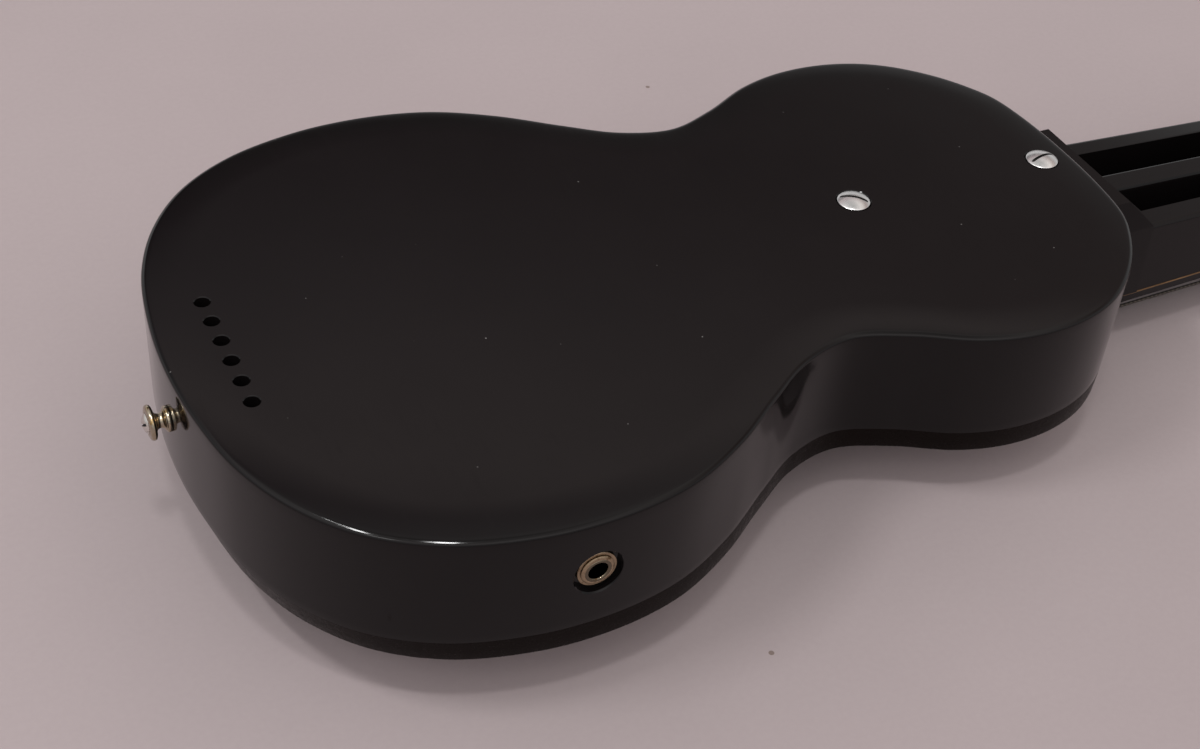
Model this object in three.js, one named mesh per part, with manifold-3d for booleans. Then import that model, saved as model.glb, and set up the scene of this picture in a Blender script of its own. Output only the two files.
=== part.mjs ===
// Lap steel guitar with a moulded hollow body and a bolted moulded neck, lying face down.
// Millimetres. X runs from the tail to the head, Y across the body, Z up out of the back.
// Inside the group z is zero at the back's flat, so the face and the strings have negative z.

import * as THREE from 'three';
import { mergeVertices } from 'three/addons/utils/BufferGeometryUtils.js';
import Module from 'manifold-3d';

// Body shell
const bodyLength = 355;
const bodyWidth = 229;
const bodyDepth = 55.4;
const backRound = 1.5;
const faceRound = 1.2;
const lipDepth = 11.4;
const lipTaper = 1.9;
const lipLean = 2.2;
const backWall = 8;
const sideWall = 12.5;
const lowerSpineWidth = 104;
const upperSpineWidth = 86;
const lowerCavityStart = 26;
const lowerCavityLength = 160;
const waistBlock = 46;
const neckEndBlock = 17;

// Strings, bridge and nut
const scaleLength = 572;
const stringRowFromTail = 20.5;
const stringRowSpacing = 10.58;
const stringHoleDiameter = 5.5;
const ballDiameter = 4.2;
const ballDepth = 37;
const bridgeFromTail = 65;
const bridgeStringHeight = 16;
const bridgeLength = 66;
const bridgeFoot = 14;
const bridgeThickness = 3;
const saddleThickness = 4;
const saddleCover = 0.6;
const nutStringHeight = 9;
const nutSpacing = 8.4;
const nutThickness = 3;
const nutLength = 50;
const nutCover = 0.9;
const stringDiameters = [1.42, 1.07, 0.81, 0.61, 0.46, 0.38];
const stringTurns = 1.5;
const slotRelief = 0.8;

// Neck, fingerboard and head
const neckBack = 20.9;
const neckBackAtNut = 32.2;
const fingerboardProud = 1.3;
const fingerboardEdge = 3.3;
const fingerboardWidthAtBody = 66;
const fingerboardWidthAtNut = 51;
const fingerboardStep = 0.4;
const railWidthAtBody = 61.2;
const railEdge = 1.5;
const grooveInner = 5.9;
const grooveOuter = 21.1;
const grooveFloor = 45;
const fretWidth = 2.2;
const fretHeight = 0.8;
const fretCount = 24;
const heelTop = 10.2;
const heelReach = 13.6;
const heelSlope = 12;
const heelWidth = 53.4;
const tongueWidth = 54;
const tongueTop = 16.5;
const headLength = 100;
const headThickness = 16;
const headShoulderWidth = 62;
const headWidth = 78;
const headRound = 1.5;
const headSlope = 26;

// Neck screws
const neckScrewFromTongue = 54.3;
const neckScrewFromEnd = 13.3;
const neckScrewAcross = [0, -2];
const neckScrewTurn = [-0.65, 0.14];
const screwHeadDiameter = 12.2;
const screwDome = 1.8;
const screwHeadDepth = 4;
const screwShank = 5.2;
const screwLength = 42;
const slotWidth = 1.2;
const slotDepth = 1.1;

// Strap button at the tail, on the rim's mid line
const rimMiddle = 22.7;
const buttonFlange = 8.9;
const buttonFlangeThickness = 1.9;
const buttonWaist = 5;
const buttonHead = 12.2;
const buttonLength = 7.4;
const buttonRim = 1.3;
const buttonBore = 3.6;
const buttonScrewHead = 7.2;
const buttonScrewDome = 1.6;
const buttonScrewSink = 2.2;
const buttonScrewShank = 3;
const buttonScrewLength = 26;

// Output jack in the bass-side rim
const jackRecess = 16.8;
const jackRecessDepth = 2.6;
const jackWeb = 3;
const jackPocket = 22;
const jackBore = 6.5;
const jackSleeve = 8.8;
const jackSleeveSink = 0.5;
const jackWasher = 13.6;
const jackWasherThickness = 0.8;
const jackNut = 11.4;
const jackNutThickness = 0.8;
const jackFrame = 16;
const jackFrameThickness = 2;
const jackArmLength = 26;
const jackArmWidth = 6;
const jackArmThickness = 1.2;
const jackContactThickness = 0.8;
const jackContactOffset = 1.8;
const jackStack = 2.4;
const jackMouthRound = 0.3;

// Pickup
const magnetFromBridge = 29;
const magnetWidth = 38;
const magnetThickness = 6.35;
const magnetTop = 25.3;
const magnetSink = 9;
const magnetReach = 47;
const magnetGap = 10;
const basePlateThickness = 2.8;
const basePlateWidth = 37;
const bobbinLength = 70;
const bobbinWidth = 18;
const bobbinFlange = 1.5;
const bobbinCore = 8;
const bobbinWall = 2;
const coilWidth = 16;
const poleDiameter = 5;
const poleToString = 3.2;
const poleProud = 1;
const pickupScrewShank = 3.4;
const pickupScrewHead = 6;
const pickupScrewHeadHeight = 2;
const pickupScrewLength = 18;
const pickupScrewSpread = 27.5;

// Covers over the four cavities
const coverThickness = 1.2;
const coverLap = 4;

// Controls
const controlPastPickup = 19;
const controlBesideSpine = 0.4;
const potDiameter = 24;
const potHeight = 11.5;
const potThread = 9.4;
const potThreadLength = 6;
const potNutDiameter = 13;
const potNutThickness = 2.2;
const shaftDiameter = 6;
const shaftLength = 25;
const knobDiameter = 25;
const knobHeight = 14;
const knobBevel = 1.6;
const knobClearance = 0.8;
const capacitorDiameter = 8;
const capacitorLength = 20;
const wireDiameter = 1.6;
const wireHole = 4;
const wireDepth = 8;
const wireBeside = 4;

// Tuners, three on each side
const tunerFromNut = 22;
const tunerSpacing = 28;
const tunerAcross = 21;
const tunerPlateStart = 14;
const tunerPlateLength = 78;
const tunerPlateWidth = 18;
const tunerPlateThickness = 1.2;
const postDiameter = 6;
const postProud = 19.7;
const gearDiameter = 11;
const gearThickness = 4;
const gearTeeth = 14;
const gearToothDepth = 0.9;
const gearLift = 0.6;
const wormDiameter = 5.2;
const wormLength = 8;
const wormCrests = 3;
const wormCrestHeight = 0.6;
const wormShaft = 4;
const earThickness = 2.2;
const earWidth = 8;
const earHeight = 7;
const earSpread = 15;
const tunerButtonWidth = 16;
const tunerButtonHeight = 14;
const tunerButtonThickness = 6.4;
const tunerButtonBevel = 2;
const tunerButtonGap = 3;

// Clearances, overruns and fineness
const seat = 0.1;
const fit = 0.3;
const overrun = 5;
const weld = 0.0005;
const outlineSteps = 128;
const roundSides = 16;
const smallSides = 10;
const curveSides = 5;
const wireSides = 6;

// Shares of the body's length and half width, from the tail round one side to the neck end
const outlineShares = [
  [0, 0], [0.0045, 0.218], [0.0192, 0.449], [0.0479, 0.646], [0.0913, 0.808], [0.1521, 0.925],
  [0.2251, 0.987], [0.2817, 1], [0.338, 0.985], [0.3868, 0.945], [0.4451, 0.853], [0.5039, 0.726],
  [0.5549, 0.627], [0.6101, 0.586], [0.6648, 0.64], [0.7245, 0.733], [0.7746, 0.773],
  [0.8265, 0.774], [0.8732, 0.739], [0.9113, 0.675], [0.9493, 0.567], [0.9746, 0.458],
  [0.9887, 0.367], [0.9972, 0.21], [1, 0],
];
const jackAlongShare = 0.2828;
const windShare = 0.7;
const roundShares = [0, 0.5, 0.87, 1];

// Places worked out from the sizes above
const nutFromTail = bridgeFromTail + scaleLength;
const headEnd = nutFromTail + headLength;
const face = -bodyDepth;
const fingerboardFace = face - fingerboardProud;
const bridgeStrings = face - bridgeStringHeight;
const nutStrings = fingerboardFace - nutStringHeight;
const magnetFace = face - magnetTop;
const magnetFromTail = bridgeFromTail + magnetFromBridge;
const jackFromTail = bodyLength * jackAlongShare;
const controlFromTail = magnetFromTail + magnetWidth / 2 + controlPastPickup;
const controlAcross = (lowerSpineWidth + potDiameter) / 2 + controlBesideSpine;
const lowerCavityEnd = lowerCavityStart + lowerCavityLength;
const buttonEnd = -(buttonLength + buttonScrewDome + seat);
const restHeight = -magnetFace;

const wasm = await Module();
wasm.setup();

// Turns a closed geometry into a solid that can be cut and joined
function solid(geometry) {
  const bare = geometry.clone();
  bare.deleteAttribute('normal');
  bare.deleteAttribute('uv');
  const merged = mergeVertices(bare, weld);
  return new wasm.Manifold(new wasm.Mesh({
    numProp: 3,
    vertProperties: Float32Array.from(merged.attributes.position.array),
    triVerts: Uint32Array.from(merged.index.array),
  }));
}

function join(solids) {
  return solids.reduce((whole, next) => whole.add(next));
}

// Box given by its two corners
function slab(x0, x1, y0, y1, z0, z1) {
  const box = new THREE.BoxGeometry(x1 - x0, y1 - y0, z1 - z0);
  box.translate((x0 + x1) / 2, (y0 + y1) / 2, (z0 + z1) / 2);
  return solid(box);
}

const alongX = new THREE.Matrix4().makeBasis(
  new THREE.Vector3(0, 1, 0), new THREE.Vector3(0, 0, 1), new THREE.Vector3(1, 0, 0));
const alongY = new THREE.Matrix4().makeBasis(
  new THREE.Vector3(1, 0, 0), new THREE.Vector3(0, 0, 1), new THREE.Vector3(0, -1, 0));

// Plan shape in X and Y, extruded from z0 up to z1, with a rounding taken off inside its edge
function plan(shape, z0, z1, round = 0, segments = 2) {
  const geometry = new THREE.ExtrudeGeometry(shape, {
    depth: z1 - z0 - 2 * round,
    bevelEnabled: round > 0,
    bevelThickness: round,
    bevelSize: round,
    bevelOffset: -round,
    bevelSegments: segments,
    curveSegments: curveSides,
  });
  geometry.translate(0, 0, z0 + round);
  return solid(geometry);
}

// Section in Y and Z, extruded from x0 to x1
function section(shape, x0, x1) {
  const geometry = new THREE.ExtrudeGeometry(shape, {
    depth: x1 - x0, bevelEnabled: false, curveSegments: curveSides,
  });
  geometry.applyMatrix4(alongX);
  geometry.translate(x0, 0, 0);
  return solid(geometry);
}

// Side profile in X and Z, extruded across from y0 to y1
function profile(points, y0, y1) {
  const shape = new THREE.Shape(points.map(([x, z]) => new THREE.Vector2(x, z)));
  const geometry = new THREE.ExtrudeGeometry(shape, { depth: y1 - y0, bevelEnabled: false });
  geometry.applyMatrix4(alongY);
  geometry.translate(0, y1, 0);
  return solid(geometry);
}

// Turned piece: radii and heights along its axis, the axis pointing to (x, y, z)
function turned(points, axis, at, sides = roundSides) {
  const geometry = new THREE.LatheGeometry(points.map(([r, h]) => new THREE.Vector2(r, h)), sides);
  const turn = new THREE.Quaternion().setFromUnitVectors(
    new THREE.Vector3(0, 1, 0), new THREE.Vector3(...axis));
  geometry.applyQuaternion(turn);
  geometry.translate(...at);
  return solid(geometry);
}

// Round bar from its foot at a point, along an axis
function bar(radius, length, axis, at, sides = roundSides) {
  return turned([[0, 0], [radius, 0], [radius, length], [0, length]], axis, at, sides);
}

// Straight stretches between points, mitred at each of them
class Route extends THREE.Curve {
  constructor(points) {
    super();
    this.points = points.map((point) => new THREE.Vector3(...point));
  }

  getUtoTmapping(u) {
    return u;
  }

  getPoint(t) {
    const last = this.points.length - 1;
    const whole = Math.min(Math.floor(t * last), last - 1);
    return this.points[whole].clone().lerp(this.points[whole + 1], t * last - whole);
  }

  getTangent(t) {
    const last = this.points.length - 1;
    const near = Math.round(t * last);
    const direction = (a, b) => this.points[b].clone().sub(this.points[a]).normalize();
    const before = direction(Math.max(near - 1, 0), Math.max(near, 1));
    const after = direction(Math.min(near, last - 1), Math.min(near + 1, last));
    return before.add(after).normalize();
  }
}

function tube(points, diameter, sides = wireSides) {
  const ring = new THREE.Shape(Array.from({ length: sides }, (_, i) => {
    const angle = 2 * Math.PI * i / sides;
    return new THREE.Vector2(Math.cos(angle), Math.sin(angle)).multiplyScalar(diameter / 2);
  }));
  return solid(new THREE.ExtrudeGeometry(ring, {
    steps: points.length - 1, extrudePath: new Route(points), bevelEnabled: false,
  }));
}

const guitar = new THREE.Group();

function add(name, shape, color, roughness, metalness) {
  const mesh = shape.getMesh();
  const geometry = new THREE.BufferGeometry();
  geometry.setAttribute('position', new THREE.BufferAttribute(mesh.vertProperties, 3));
  geometry.setIndex(new THREE.BufferAttribute(mesh.triVerts, 1));
  const material = new THREE.MeshStandardMaterial({ color, roughness, metalness });
  const node = new THREE.Mesh(geometry, material);
  node.name = name;
  guitar.add(node);
}

const moulded = [0x1c1a1b, 0.25, 0];
const nickel = [0xc9c4ba, 0.22, 1];
const agedBrass = [0xa08a62, 0.3, 1];
const steel = [0x8d8f92, 0.4, 1];
const chrome = [0xd5d7da, 0.12, 1];
const fibre = [0x5b3a26, 0.7, 0];
const waxedPaper = [0x8c6a3c, 0.6, 0];
const copper = [0x8a4a28, 0.5, 0.6];
const blackPlastic = [0x141414, 0.35, 0];
const wireCloth = [0x4a3f2c, 0.8, 0];

// The body's outline, both halves, as a closed smooth curve that runs anticlockwise
const halfOutline = outlineShares.map(([along, across]) => [along * bodyLength, across * bodyWidth / 2]);
const outlineCurve = new THREE.CatmullRomCurve3([
  ...halfOutline.map(([x, y]) => new THREE.Vector3(x, -y, 0)),
  ...halfOutline.slice(1, -1).reverse().map(([x, y]) => new THREE.Vector3(x, y, 0)),
], true, 'centripetal');

function outline(inset) {
  return Array.from({ length: outlineSteps }, (_, i) => {
    const point = outlineCurve.getPointAt(i / outlineSteps);
    const tangent = outlineCurve.getTangentAt(i / outlineSteps);
    return new THREE.Vector2(point.x - tangent.y * inset, point.y + tangent.x * inset);
  });
}

// Solid through outlines of one count, each at its own inset, height and lean, from the bottom up
function stacked(levels) {
  const rings = levels.map(([inset, z, lean = 0]) => outline(inset).map((p) => [p.x + lean, p.y, z]));
  const index = [];
  for (let level = 0; level < rings.length - 1; level += 1) {
    for (let i = 0; i < outlineSteps; i += 1) {
      const a = level * outlineSteps + i;
      const b = level * outlineSteps + (i + 1) % outlineSteps;
      index.push(a, b, b + outlineSteps, a, b + outlineSteps, a + outlineSteps);
    }
  }
  const topStart = (rings.length - 1) * outlineSteps;
  const cap = (ring) => THREE.ShapeUtils.triangulateShape(ring.map(([x, y]) => new THREE.Vector2(x, y)), []);
  cap(rings[0]).forEach(([a, b, c]) => index.push(a, c, b));
  cap(rings[rings.length - 1]).forEach(([a, b, c]) => index.push(topStart + a, topStart + b, topStart + c));
  const geometry = new THREE.BufferGeometry();
  geometry.setAttribute('position', new THREE.Float32BufferAttribute(rings.flat(2), 3));
  geometry.setIndex(index);
  return solid(geometry);
}

function outlinePrism(inset, z0, z1) {
  return stacked([[inset, z0], [inset, z1]]);
}

// The shell's outside: rounded at both edges, with a lip that tapers towards the face
function shellOutside(grow) {
  const lipShare = (z) => (face + lipDepth - z) / lipDepth;
  const faceArc = roundShares.map((share) => {
    const z = face + faceRound * share;
    const round = faceRound * (1 - Math.sqrt(1 - (1 - share) ** 2));
    return [lipTaper * lipShare(z) + round - grow, z - grow, lipLean * lipShare(z)];
  });
  const backArc = roundShares.map((share) => [
    backRound * (1 - Math.sqrt(1 - share ** 2)) - grow,
    -backRound * (1 - share) + grow,
  ]);
  return stacked([...faceArc, [-grow, face + lipDepth], ...backArc]);
}

// Where a cavity or its cover lies: from x0 to x1, outside the spine, on one side
function chamber(inset, x0, x1, spine, side, z0, z1) {
  const reach = bodyWidth;
  const inner = side * spine / 2;
  const outer = side * reach;
  const half = slab(x0, x1, Math.min(inner, outer), Math.max(inner, outer), z0, z1);
  return outlinePrism(inset, z0, z1).intersect(half);
}

const sides = [['bass', -1], ['treble', 1]];
const bouts = [
  ['lower', lowerCavityStart, lowerCavityEnd, lowerSpineWidth],
  ['upper', lowerCavityEnd + waistBlock, bodyLength - neckEndBlock, upperSpineWidth],
];

const stringCount = stringDiameters.length;
const acrossString = (spacing, i) => (i - (stringCount - 1) / 2) * spacing;

// The neck's width and depth fall evenly from the body to the nut
const neckShare = (x) => (x - bodyLength) / (nutFromTail - bodyLength);
const widthShare = (x) => 1 + (fingerboardWidthAtNut / fingerboardWidthAtBody - 1) * neckShare(x);
const boardEdge = fingerboardFace + fingerboardEdge;
const depthShare = (x) => 1 - (neckBackAtNut - neckBack) / (-neckBack - boardEdge) * neckShare(x);
const backAt = (x) => boardEdge + (-neckBack - boardEdge) * depthShare(x);
const fretPlace = (n) => nutFromTail - scaleLength * (1 - 2 ** (-n / 12));
const tongueEnd = fretPlace(fretCount) - fretWidth * 2;
const neckScrewFromTail = [tongueEnd + neckScrewFromTongue, bodyLength - neckScrewFromEnd];

// Rim: jack and strap button
const rimZ = -rimMiddle;
const jackWall = -outlineCurve.points.reduce((widest, p) => Math.max(widest, p.y), 0);
const jackSeat = jackWall + jackRecessDepth;
const jackInside = jackSeat + jackWeb;

const pickupPocketWidth = magnetReach * 2 + 2 * fit;
const pickupScrews = [-1, 1].map((side) => magnetFromTail + side * pickupScrewSpread / 2);
const wireLevel = face + wireDepth;
const leadX = magnetFromTail + magnetWidth / 2 + wireBeside;
const coilEnd = (bobbinLength - bobbinWidth + coilWidth) / 2;
const leadY = coilEnd + wireDiameter / 2 + fit;

function bodyShell() {
  let shell = shellOutside(0);
  for (const [, side] of sides) {
    for (const [, x0, x1, spine] of bouts) {
      shell = shell.subtract(chamber(sideWall, x0, x1, spine, side, face - overrun, -backWall));
    }
  }
  const pocket = slab(tongueEnd - fit, bodyLength + overrun, -tongueWidth / 2 - fit,
    tongueWidth / 2 + fit, face - overrun, -tongueTop + fit);
  const pickupPocket = slab(magnetFromTail - magnetWidth / 2 - fit, magnetFromTail + magnetWidth / 2 + fit,
    -pickupPocketWidth / 2, pickupPocketWidth / 2, face - overrun, face + magnetSink + seat);
  shell = shell.subtract(pocket).subtract(pickupPocket);
  for (let i = 0; i < stringCount; i += 1) {
    const y = acrossString(stringRowSpacing, i);
    const at = [stringRowFromTail, y, overrun];
    const inward = [0, 0, -1];
    const wide = ballDepth + ballDiameter + overrun;
    shell = shell.subtract(bar(stringHoleDiameter / 2, wide, inward, at, smallSides));
    shell = shell.subtract(bar(ballDiameter / 4 + fit, bodyDepth + 2 * overrun, inward, at, smallSides));
  }
  neckScrewFromTail.forEach((x, i) => {
    const top = screwHeadDiameter / 2 + fit;
    const shank = screwShank / 2 + fit;
    shell = shell.subtract(turned([
      [0, overrun], [top, overrun], [top, 0],
      [shank, -screwHeadDepth], [shank, -bodyDepth], [0, -bodyDepth],
    ].reverse(), [0, 0, 1], [x, neckScrewAcross[i], 0]));
  });
  const out = [0, -1, 0];
  shell = shell.subtract(bar(jackRecess / 2, jackRecessDepth + overrun, out,
    [jackFromTail, jackSeat, rimZ]));
  shell = shell.subtract(bar(jackSleeve / 2 + fit, jackPocket, out,
    [jackFromTail, jackInside + overrun, rimZ]));
  shell = shell.subtract(bar(jackPocket / 2, sideWall, out, [jackFromTail, jackInside + sideWall, rimZ]));
  shell = shell.subtract(bar(buttonScrewShank / 2 + fit, buttonScrewLength + overrun, [-1, 0, 0],
    [buttonScrewLength, 0, rimZ], smallSides));
  for (const x of pickupScrews) {
    shell = shell.subtract(bar(pickupScrewShank / 2 + fit, pickupScrewLength, [0, 0, 1],
      [x, 0, face + magnetSink - pickupScrewHeadHeight], smallSides));
  }
  const wall = lowerSpineWidth / 2 + overrun;
  const start = leadY - wireHole / 2;
  const bore = (length, axis, at) => bar(wireHole / 2, length, axis, at, smallSides);
  shell = shell.subtract(bore(2 * wall, [0, 1, 0], [controlFromTail, -wall, wireLevel]));
  shell = shell.subtract(bore(wall - start, [0, 1, 0], [leadX, start, wireLevel]));
  shell = shell.subtract(bore(wireDepth + overrun, [0, 0, -1], [leadX, leadY, wireLevel]));
  return shell;
}

function neckSection() {
  const board = fingerboardWidthAtBody / 2;
  const under = board - fingerboardStep;
  const rail = railWidthAtBody / 2;
  const half = [
    [board, fingerboardFace], [board, boardEdge], [under, boardEdge], [rail, -neckBack - railEdge],
    [rail - railEdge, -neckBack],
  ];
  const points = [...half, ...half.map(([y, z]) => [-y, z]).reverse()];
  return new THREE.Shape(points.map(([y, z]) => new THREE.Vector2(y, z)));
}

// Narrows a solid towards the nut, and thins what lies behind the fingerboard's edge
function tapered(shape) {
  return shape.warp((vertex) => {
    vertex[1] *= widthShare(vertex[0]);
    if (vertex[2] > boardEdge) vertex[2] = boardEdge + (vertex[2] - boardEdge) * depthShare(vertex[0]);
  });
}

function heelSection() {
  const half = heelWidth / 2;
  const rail = railWidthAtBody / 2;
  const board = fingerboardWidthAtBody / 2 - fingerboardStep;
  const right = [[board, boardEdge], [rail, -neckBack - railEdge], [half, -heelTop]];
  const points = [...right, ...right.map(([y, z]) => [-y, z]).reverse()];
  return new THREE.Shape(points.map(([y, z]) => new THREE.Vector2(y, z)));
}

function headShape() {
  const shoulder = headShoulderWidth / 2;
  const wide = headWidth / 2;
  const nutHalf = fingerboardWidthAtNut / 2;
  const start = nutFromTail - headRound;
  const shape = new THREE.Shape();
  shape.moveTo(start, -nutHalf);
  shape.quadraticCurveTo(start + headLength / 20, -shoulder, start + headLength / 8, -shoulder);
  shape.lineTo(headEnd - headLength / 5, -wide);
  shape.quadraticCurveTo(headEnd - headLength / 20, -wide, headEnd - headLength / 16, -wide / 2);
  shape.quadraticCurveTo(headEnd, -wide / 4, headEnd, 0);
  shape.quadraticCurveTo(headEnd, wide / 4, headEnd - headLength / 16, wide / 2);
  shape.quadraticCurveTo(headEnd - headLength / 20, wide, headEnd - headLength / 5, wide);
  shape.lineTo(start + headLength / 8, shoulder);
  shape.quadraticCurveTo(start + headLength / 20, shoulder, start, nutHalf);
  return shape;
}

const headBack = fingerboardFace + headThickness;
const tuners = sides.flatMap(([sideName, side]) => [0, 1, 2].map((row) => ({
  name: `${sideName}_${row + 1}`,
  side,
  x: nutFromTail + tunerFromNut + row * tunerSpacing,
  y: side * tunerAcross,
  string: side < 0 ? row : stringCount - 1 - row,
})));

function neck() {
  const heelEnd = bodyLength + heelReach;
  const start = bodyLength - overrun;
  const slopeEnd = heelEnd + heelSlope;
  const slope = profile([
    [start, -heelTop], [heelEnd, -heelTop], [slopeEnd, backAt(slopeEnd)], [slopeEnd, boardEdge],
    [start, boardEdge],
  ], -fingerboardWidthAtBody, fingerboardWidthAtBody);
  const heel = slope.intersect(section(heelSection(), start, slopeEnd + overrun));
  const grooveStart = slopeEnd + railEdge;
  const grooveEnd = nutFromTail - headSlope;
  let stick = tapered(section(neckSection(), start, nutFromTail + headRound * 2));
  for (const [, side] of sides) {
    const inner = Math.min(side * grooveInner, side * grooveOuter);
    const outer = Math.max(side * grooveInner, side * grooveOuter);
    stick = stick.subtract(tapered(slab(grooveStart, grooveEnd, inner, outer, -grooveFloor, overrun)));
  }
  const fallStart = nutFromTail - headSlope / 2;
  const fallEnd = nutFromTail + headSlope / 2;
  const scoop = profile([
    [fallStart, overrun], [fallStart, backAt(fallStart)], [fallEnd, headBack],
    [fallEnd + headSlope, headBack], [fallEnd + headSlope, overrun],
  ], -headWidth / 2, headWidth / 2);
  const head = plan(headShape(), fingerboardFace, headBack, headRound);
  const fallHalf = fingerboardWidthAtNut / 2 - headRound;
  const fall = profile([
    [fallStart, backAt(fallStart)], [fallStart, fingerboardFace], [fallEnd, fingerboardFace],
    [fallEnd, headBack],
  ], -fallHalf, fallHalf);
  let whole = stick.add(heel).subtract(shellOutside(fit)).subtract(scoop).add(head).add(fall);
  const tongueHalf = tongueWidth / 2;
  const tongue = slab(tongueEnd, heelEnd, -tongueHalf, tongueHalf, face - seat, -tongueTop);
  const boardHalf = fingerboardWidthAtBody / 2;
  const board = tapered(slab(tongueEnd, heelEnd, -boardHalf, boardHalf, fingerboardFace, face - seat));
  whole = whole.add(tongue).add(board);
  for (let n = 1; n <= fretCount; n += 1) {
    const x = fretPlace(n);
    const half = widthShare(x) * fingerboardWidthAtBody / 2 - fretHeight;
    whole = whole.add(profile([
      [x - fretWidth / 2, fingerboardFace + fretHeight], [x - fretWidth / 2, fingerboardFace],
      [x - fretWidth / 4, fingerboardFace - fretHeight], [x + fretWidth / 4, fingerboardFace - fretHeight],
      [x + fretWidth / 2, fingerboardFace], [x + fretWidth / 2, fingerboardFace + fretHeight],
    ], -half, half));
  }
  neckScrewFromTail.forEach((x, i) => {
    whole = whole.subtract(bar(screwShank / 2 + fit, screwLength + overrun, [0, 0, -1],
      [x, neckScrewAcross[i], 0], smallSides));
  });
  for (const tuner of tuners) {
    whole = whole.subtract(bar(postDiameter / 2 + fit, headThickness + 2 * overrun, [0, 0, -1],
      [tuner.x, tuner.y, headBack + overrun], smallSides));
  }
  return whole;
}

// A wood or machine screw with an oval slotted head: the flat's level is its origin
function ovalScrew(head, dome, sink, shank, length, turn) {
  const points = [
    [0, -length], [shank / 4, -length], [shank / 2, -length + shank], [shank / 2, -sink],
    [head / 2, 0], [head * 0.4, dome * 0.55], [head * 0.22, dome * 0.9], [0, dome],
  ];
  const slot = slab(-head, head, -slotWidth / 2, slotWidth / 2, dome - slotDepth, dome + overrun);
  return turned(points, [0, 0, 1], [0, 0, 0]).subtract(slot).rotate([0, 0, THREE.MathUtils.radToDeg(turn)]);
}

function strapButton() {
  const head = buttonHead / 2;
  const flange = buttonFlange / 2;
  const waist = buttonWaist / 2;
  const bore = buttonBore / 2;
  const waistStart = buttonFlangeThickness * 2;
  const flare = buttonLength - waistStart;
  const sink = buttonScrewHead / 2 + fit;
  return turned([
    [bore, 0], [flange * 0.85, 0], [flange, buttonFlangeThickness * 0.5],
    [flange * 0.9, buttonFlangeThickness], [waist * 1.15, buttonFlangeThickness * 1.4],
    [waist, waistStart], [waist * 1.1, waistStart + flare * 0.25],
    [head * 0.7, waistStart + flare * 0.55], [head, buttonLength - buttonRim],
    [head, buttonLength - buttonRim * 0.4], [head * 0.92, buttonLength], [sink, buttonLength],
    [bore, buttonLength - buttonScrewSink], [bore, 0],
  ], [-1, 0, 0], [-seat, 0, rimZ]);
}

function jackParts() {
  const out = [0, -1, 0];
  const at = [jackFromTail, jackSeat, rimZ];
  const bore = jackBore / 2;
  const sleeve = jackSleeve / 2;
  const frame = jackFrame / 2;
  const armLevel = frame - jackArmThickness;
  const mouth = jackRecessDepth - jackSleeveSink;
  const back = -(jackWeb + fit);
  const barrel = turned([
    [bore, back - jackFrameThickness], [frame, back - jackFrameThickness], [frame, back], [sleeve, back],
    [sleeve, mouth - jackMouthRound], [sleeve - jackMouthRound, mouth], [bore, mouth],
    [bore, back - jackFrameThickness],
  ], out, at);
  const armStart = jackSeat - back;
  const arm = slab(jackFromTail - jackArmWidth / 2, jackFromTail + jackArmWidth / 2,
    armStart, armStart + jackArmLength, rimZ + armLevel, rimZ + frame);
  const washer = turned([
    [sleeve + fit, seat], [jackWasher / 2, seat], [jackWasher / 2, seat + jackWasherThickness],
    [sleeve + fit, seat + jackWasherThickness], [sleeve + fit, seat],
  ], out, at);
  const nutFoot = 2 * seat + jackWasherThickness;
  const nut = turned([
    [sleeve + seat, nutFoot], [jackNut / 2, nutFoot], [jackNut / 2, nutFoot + jackNutThickness * 0.6],
    [jackNut / 2 - jackNutThickness * 0.5, nutFoot + jackNutThickness],
    [sleeve + seat, nutFoot + jackNutThickness], [sleeve + seat, nutFoot],
  ], out, at);
  const stackTop = rimZ + armLevel - seat;
  const stack = slab(jackFromTail - jackArmWidth / 2, jackFromTail + jackArmWidth / 2,
    armStart + jackArmLength - jackArmWidth, armStart + jackArmLength, stackTop - jackStack, stackTop);
  const contactTop = stackTop - jackStack - seat;
  const contactFoot = contactTop - jackContactThickness;
  const tip = rimZ + jackContactOffset;
  const contactStart = armStart + jackFrameThickness * 2;
  const contactEnd = armStart + jackArmLength;
  const hook = contactStart + jackArmWidth / 2;
  const root = contactEnd - jackArmWidth;
  const contact = profileAcross([
    [contactEnd, contactTop], [contactEnd, contactFoot], [root, contactFoot], [hook, tip],
    [contactStart, tip + jackContactThickness], [contactStart, tip + 2 * jackContactThickness],
    [hook, tip + jackContactThickness], [root, contactTop],
  ].reverse(), jackFromTail - jackArmWidth / 2, jackFromTail + jackArmWidth / 2);
  const level = stackTop - jackStack / 2;
  return { barrel: barrel.add(arm), washer, nut, stack, contact, tail: contactEnd, level };
}

// Section in Y and Z given as points, extruded from x0 to x1
function profileAcross(points, x0, x1) {
  return section(new THREE.Shape(points.map(([y, z]) => new THREE.Vector2(y, z))), x0, x1);
}

const magnetHeight = magnetTop + magnetSink;
const magnetMiddle = magnetFace + magnetHeight / 2;
const magnetLower = face + magnetSink;
const magnetBend = magnetReach - magnetHeight / 2;
const coilTop = bridgeStrings + poleToString + poleProud;

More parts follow.
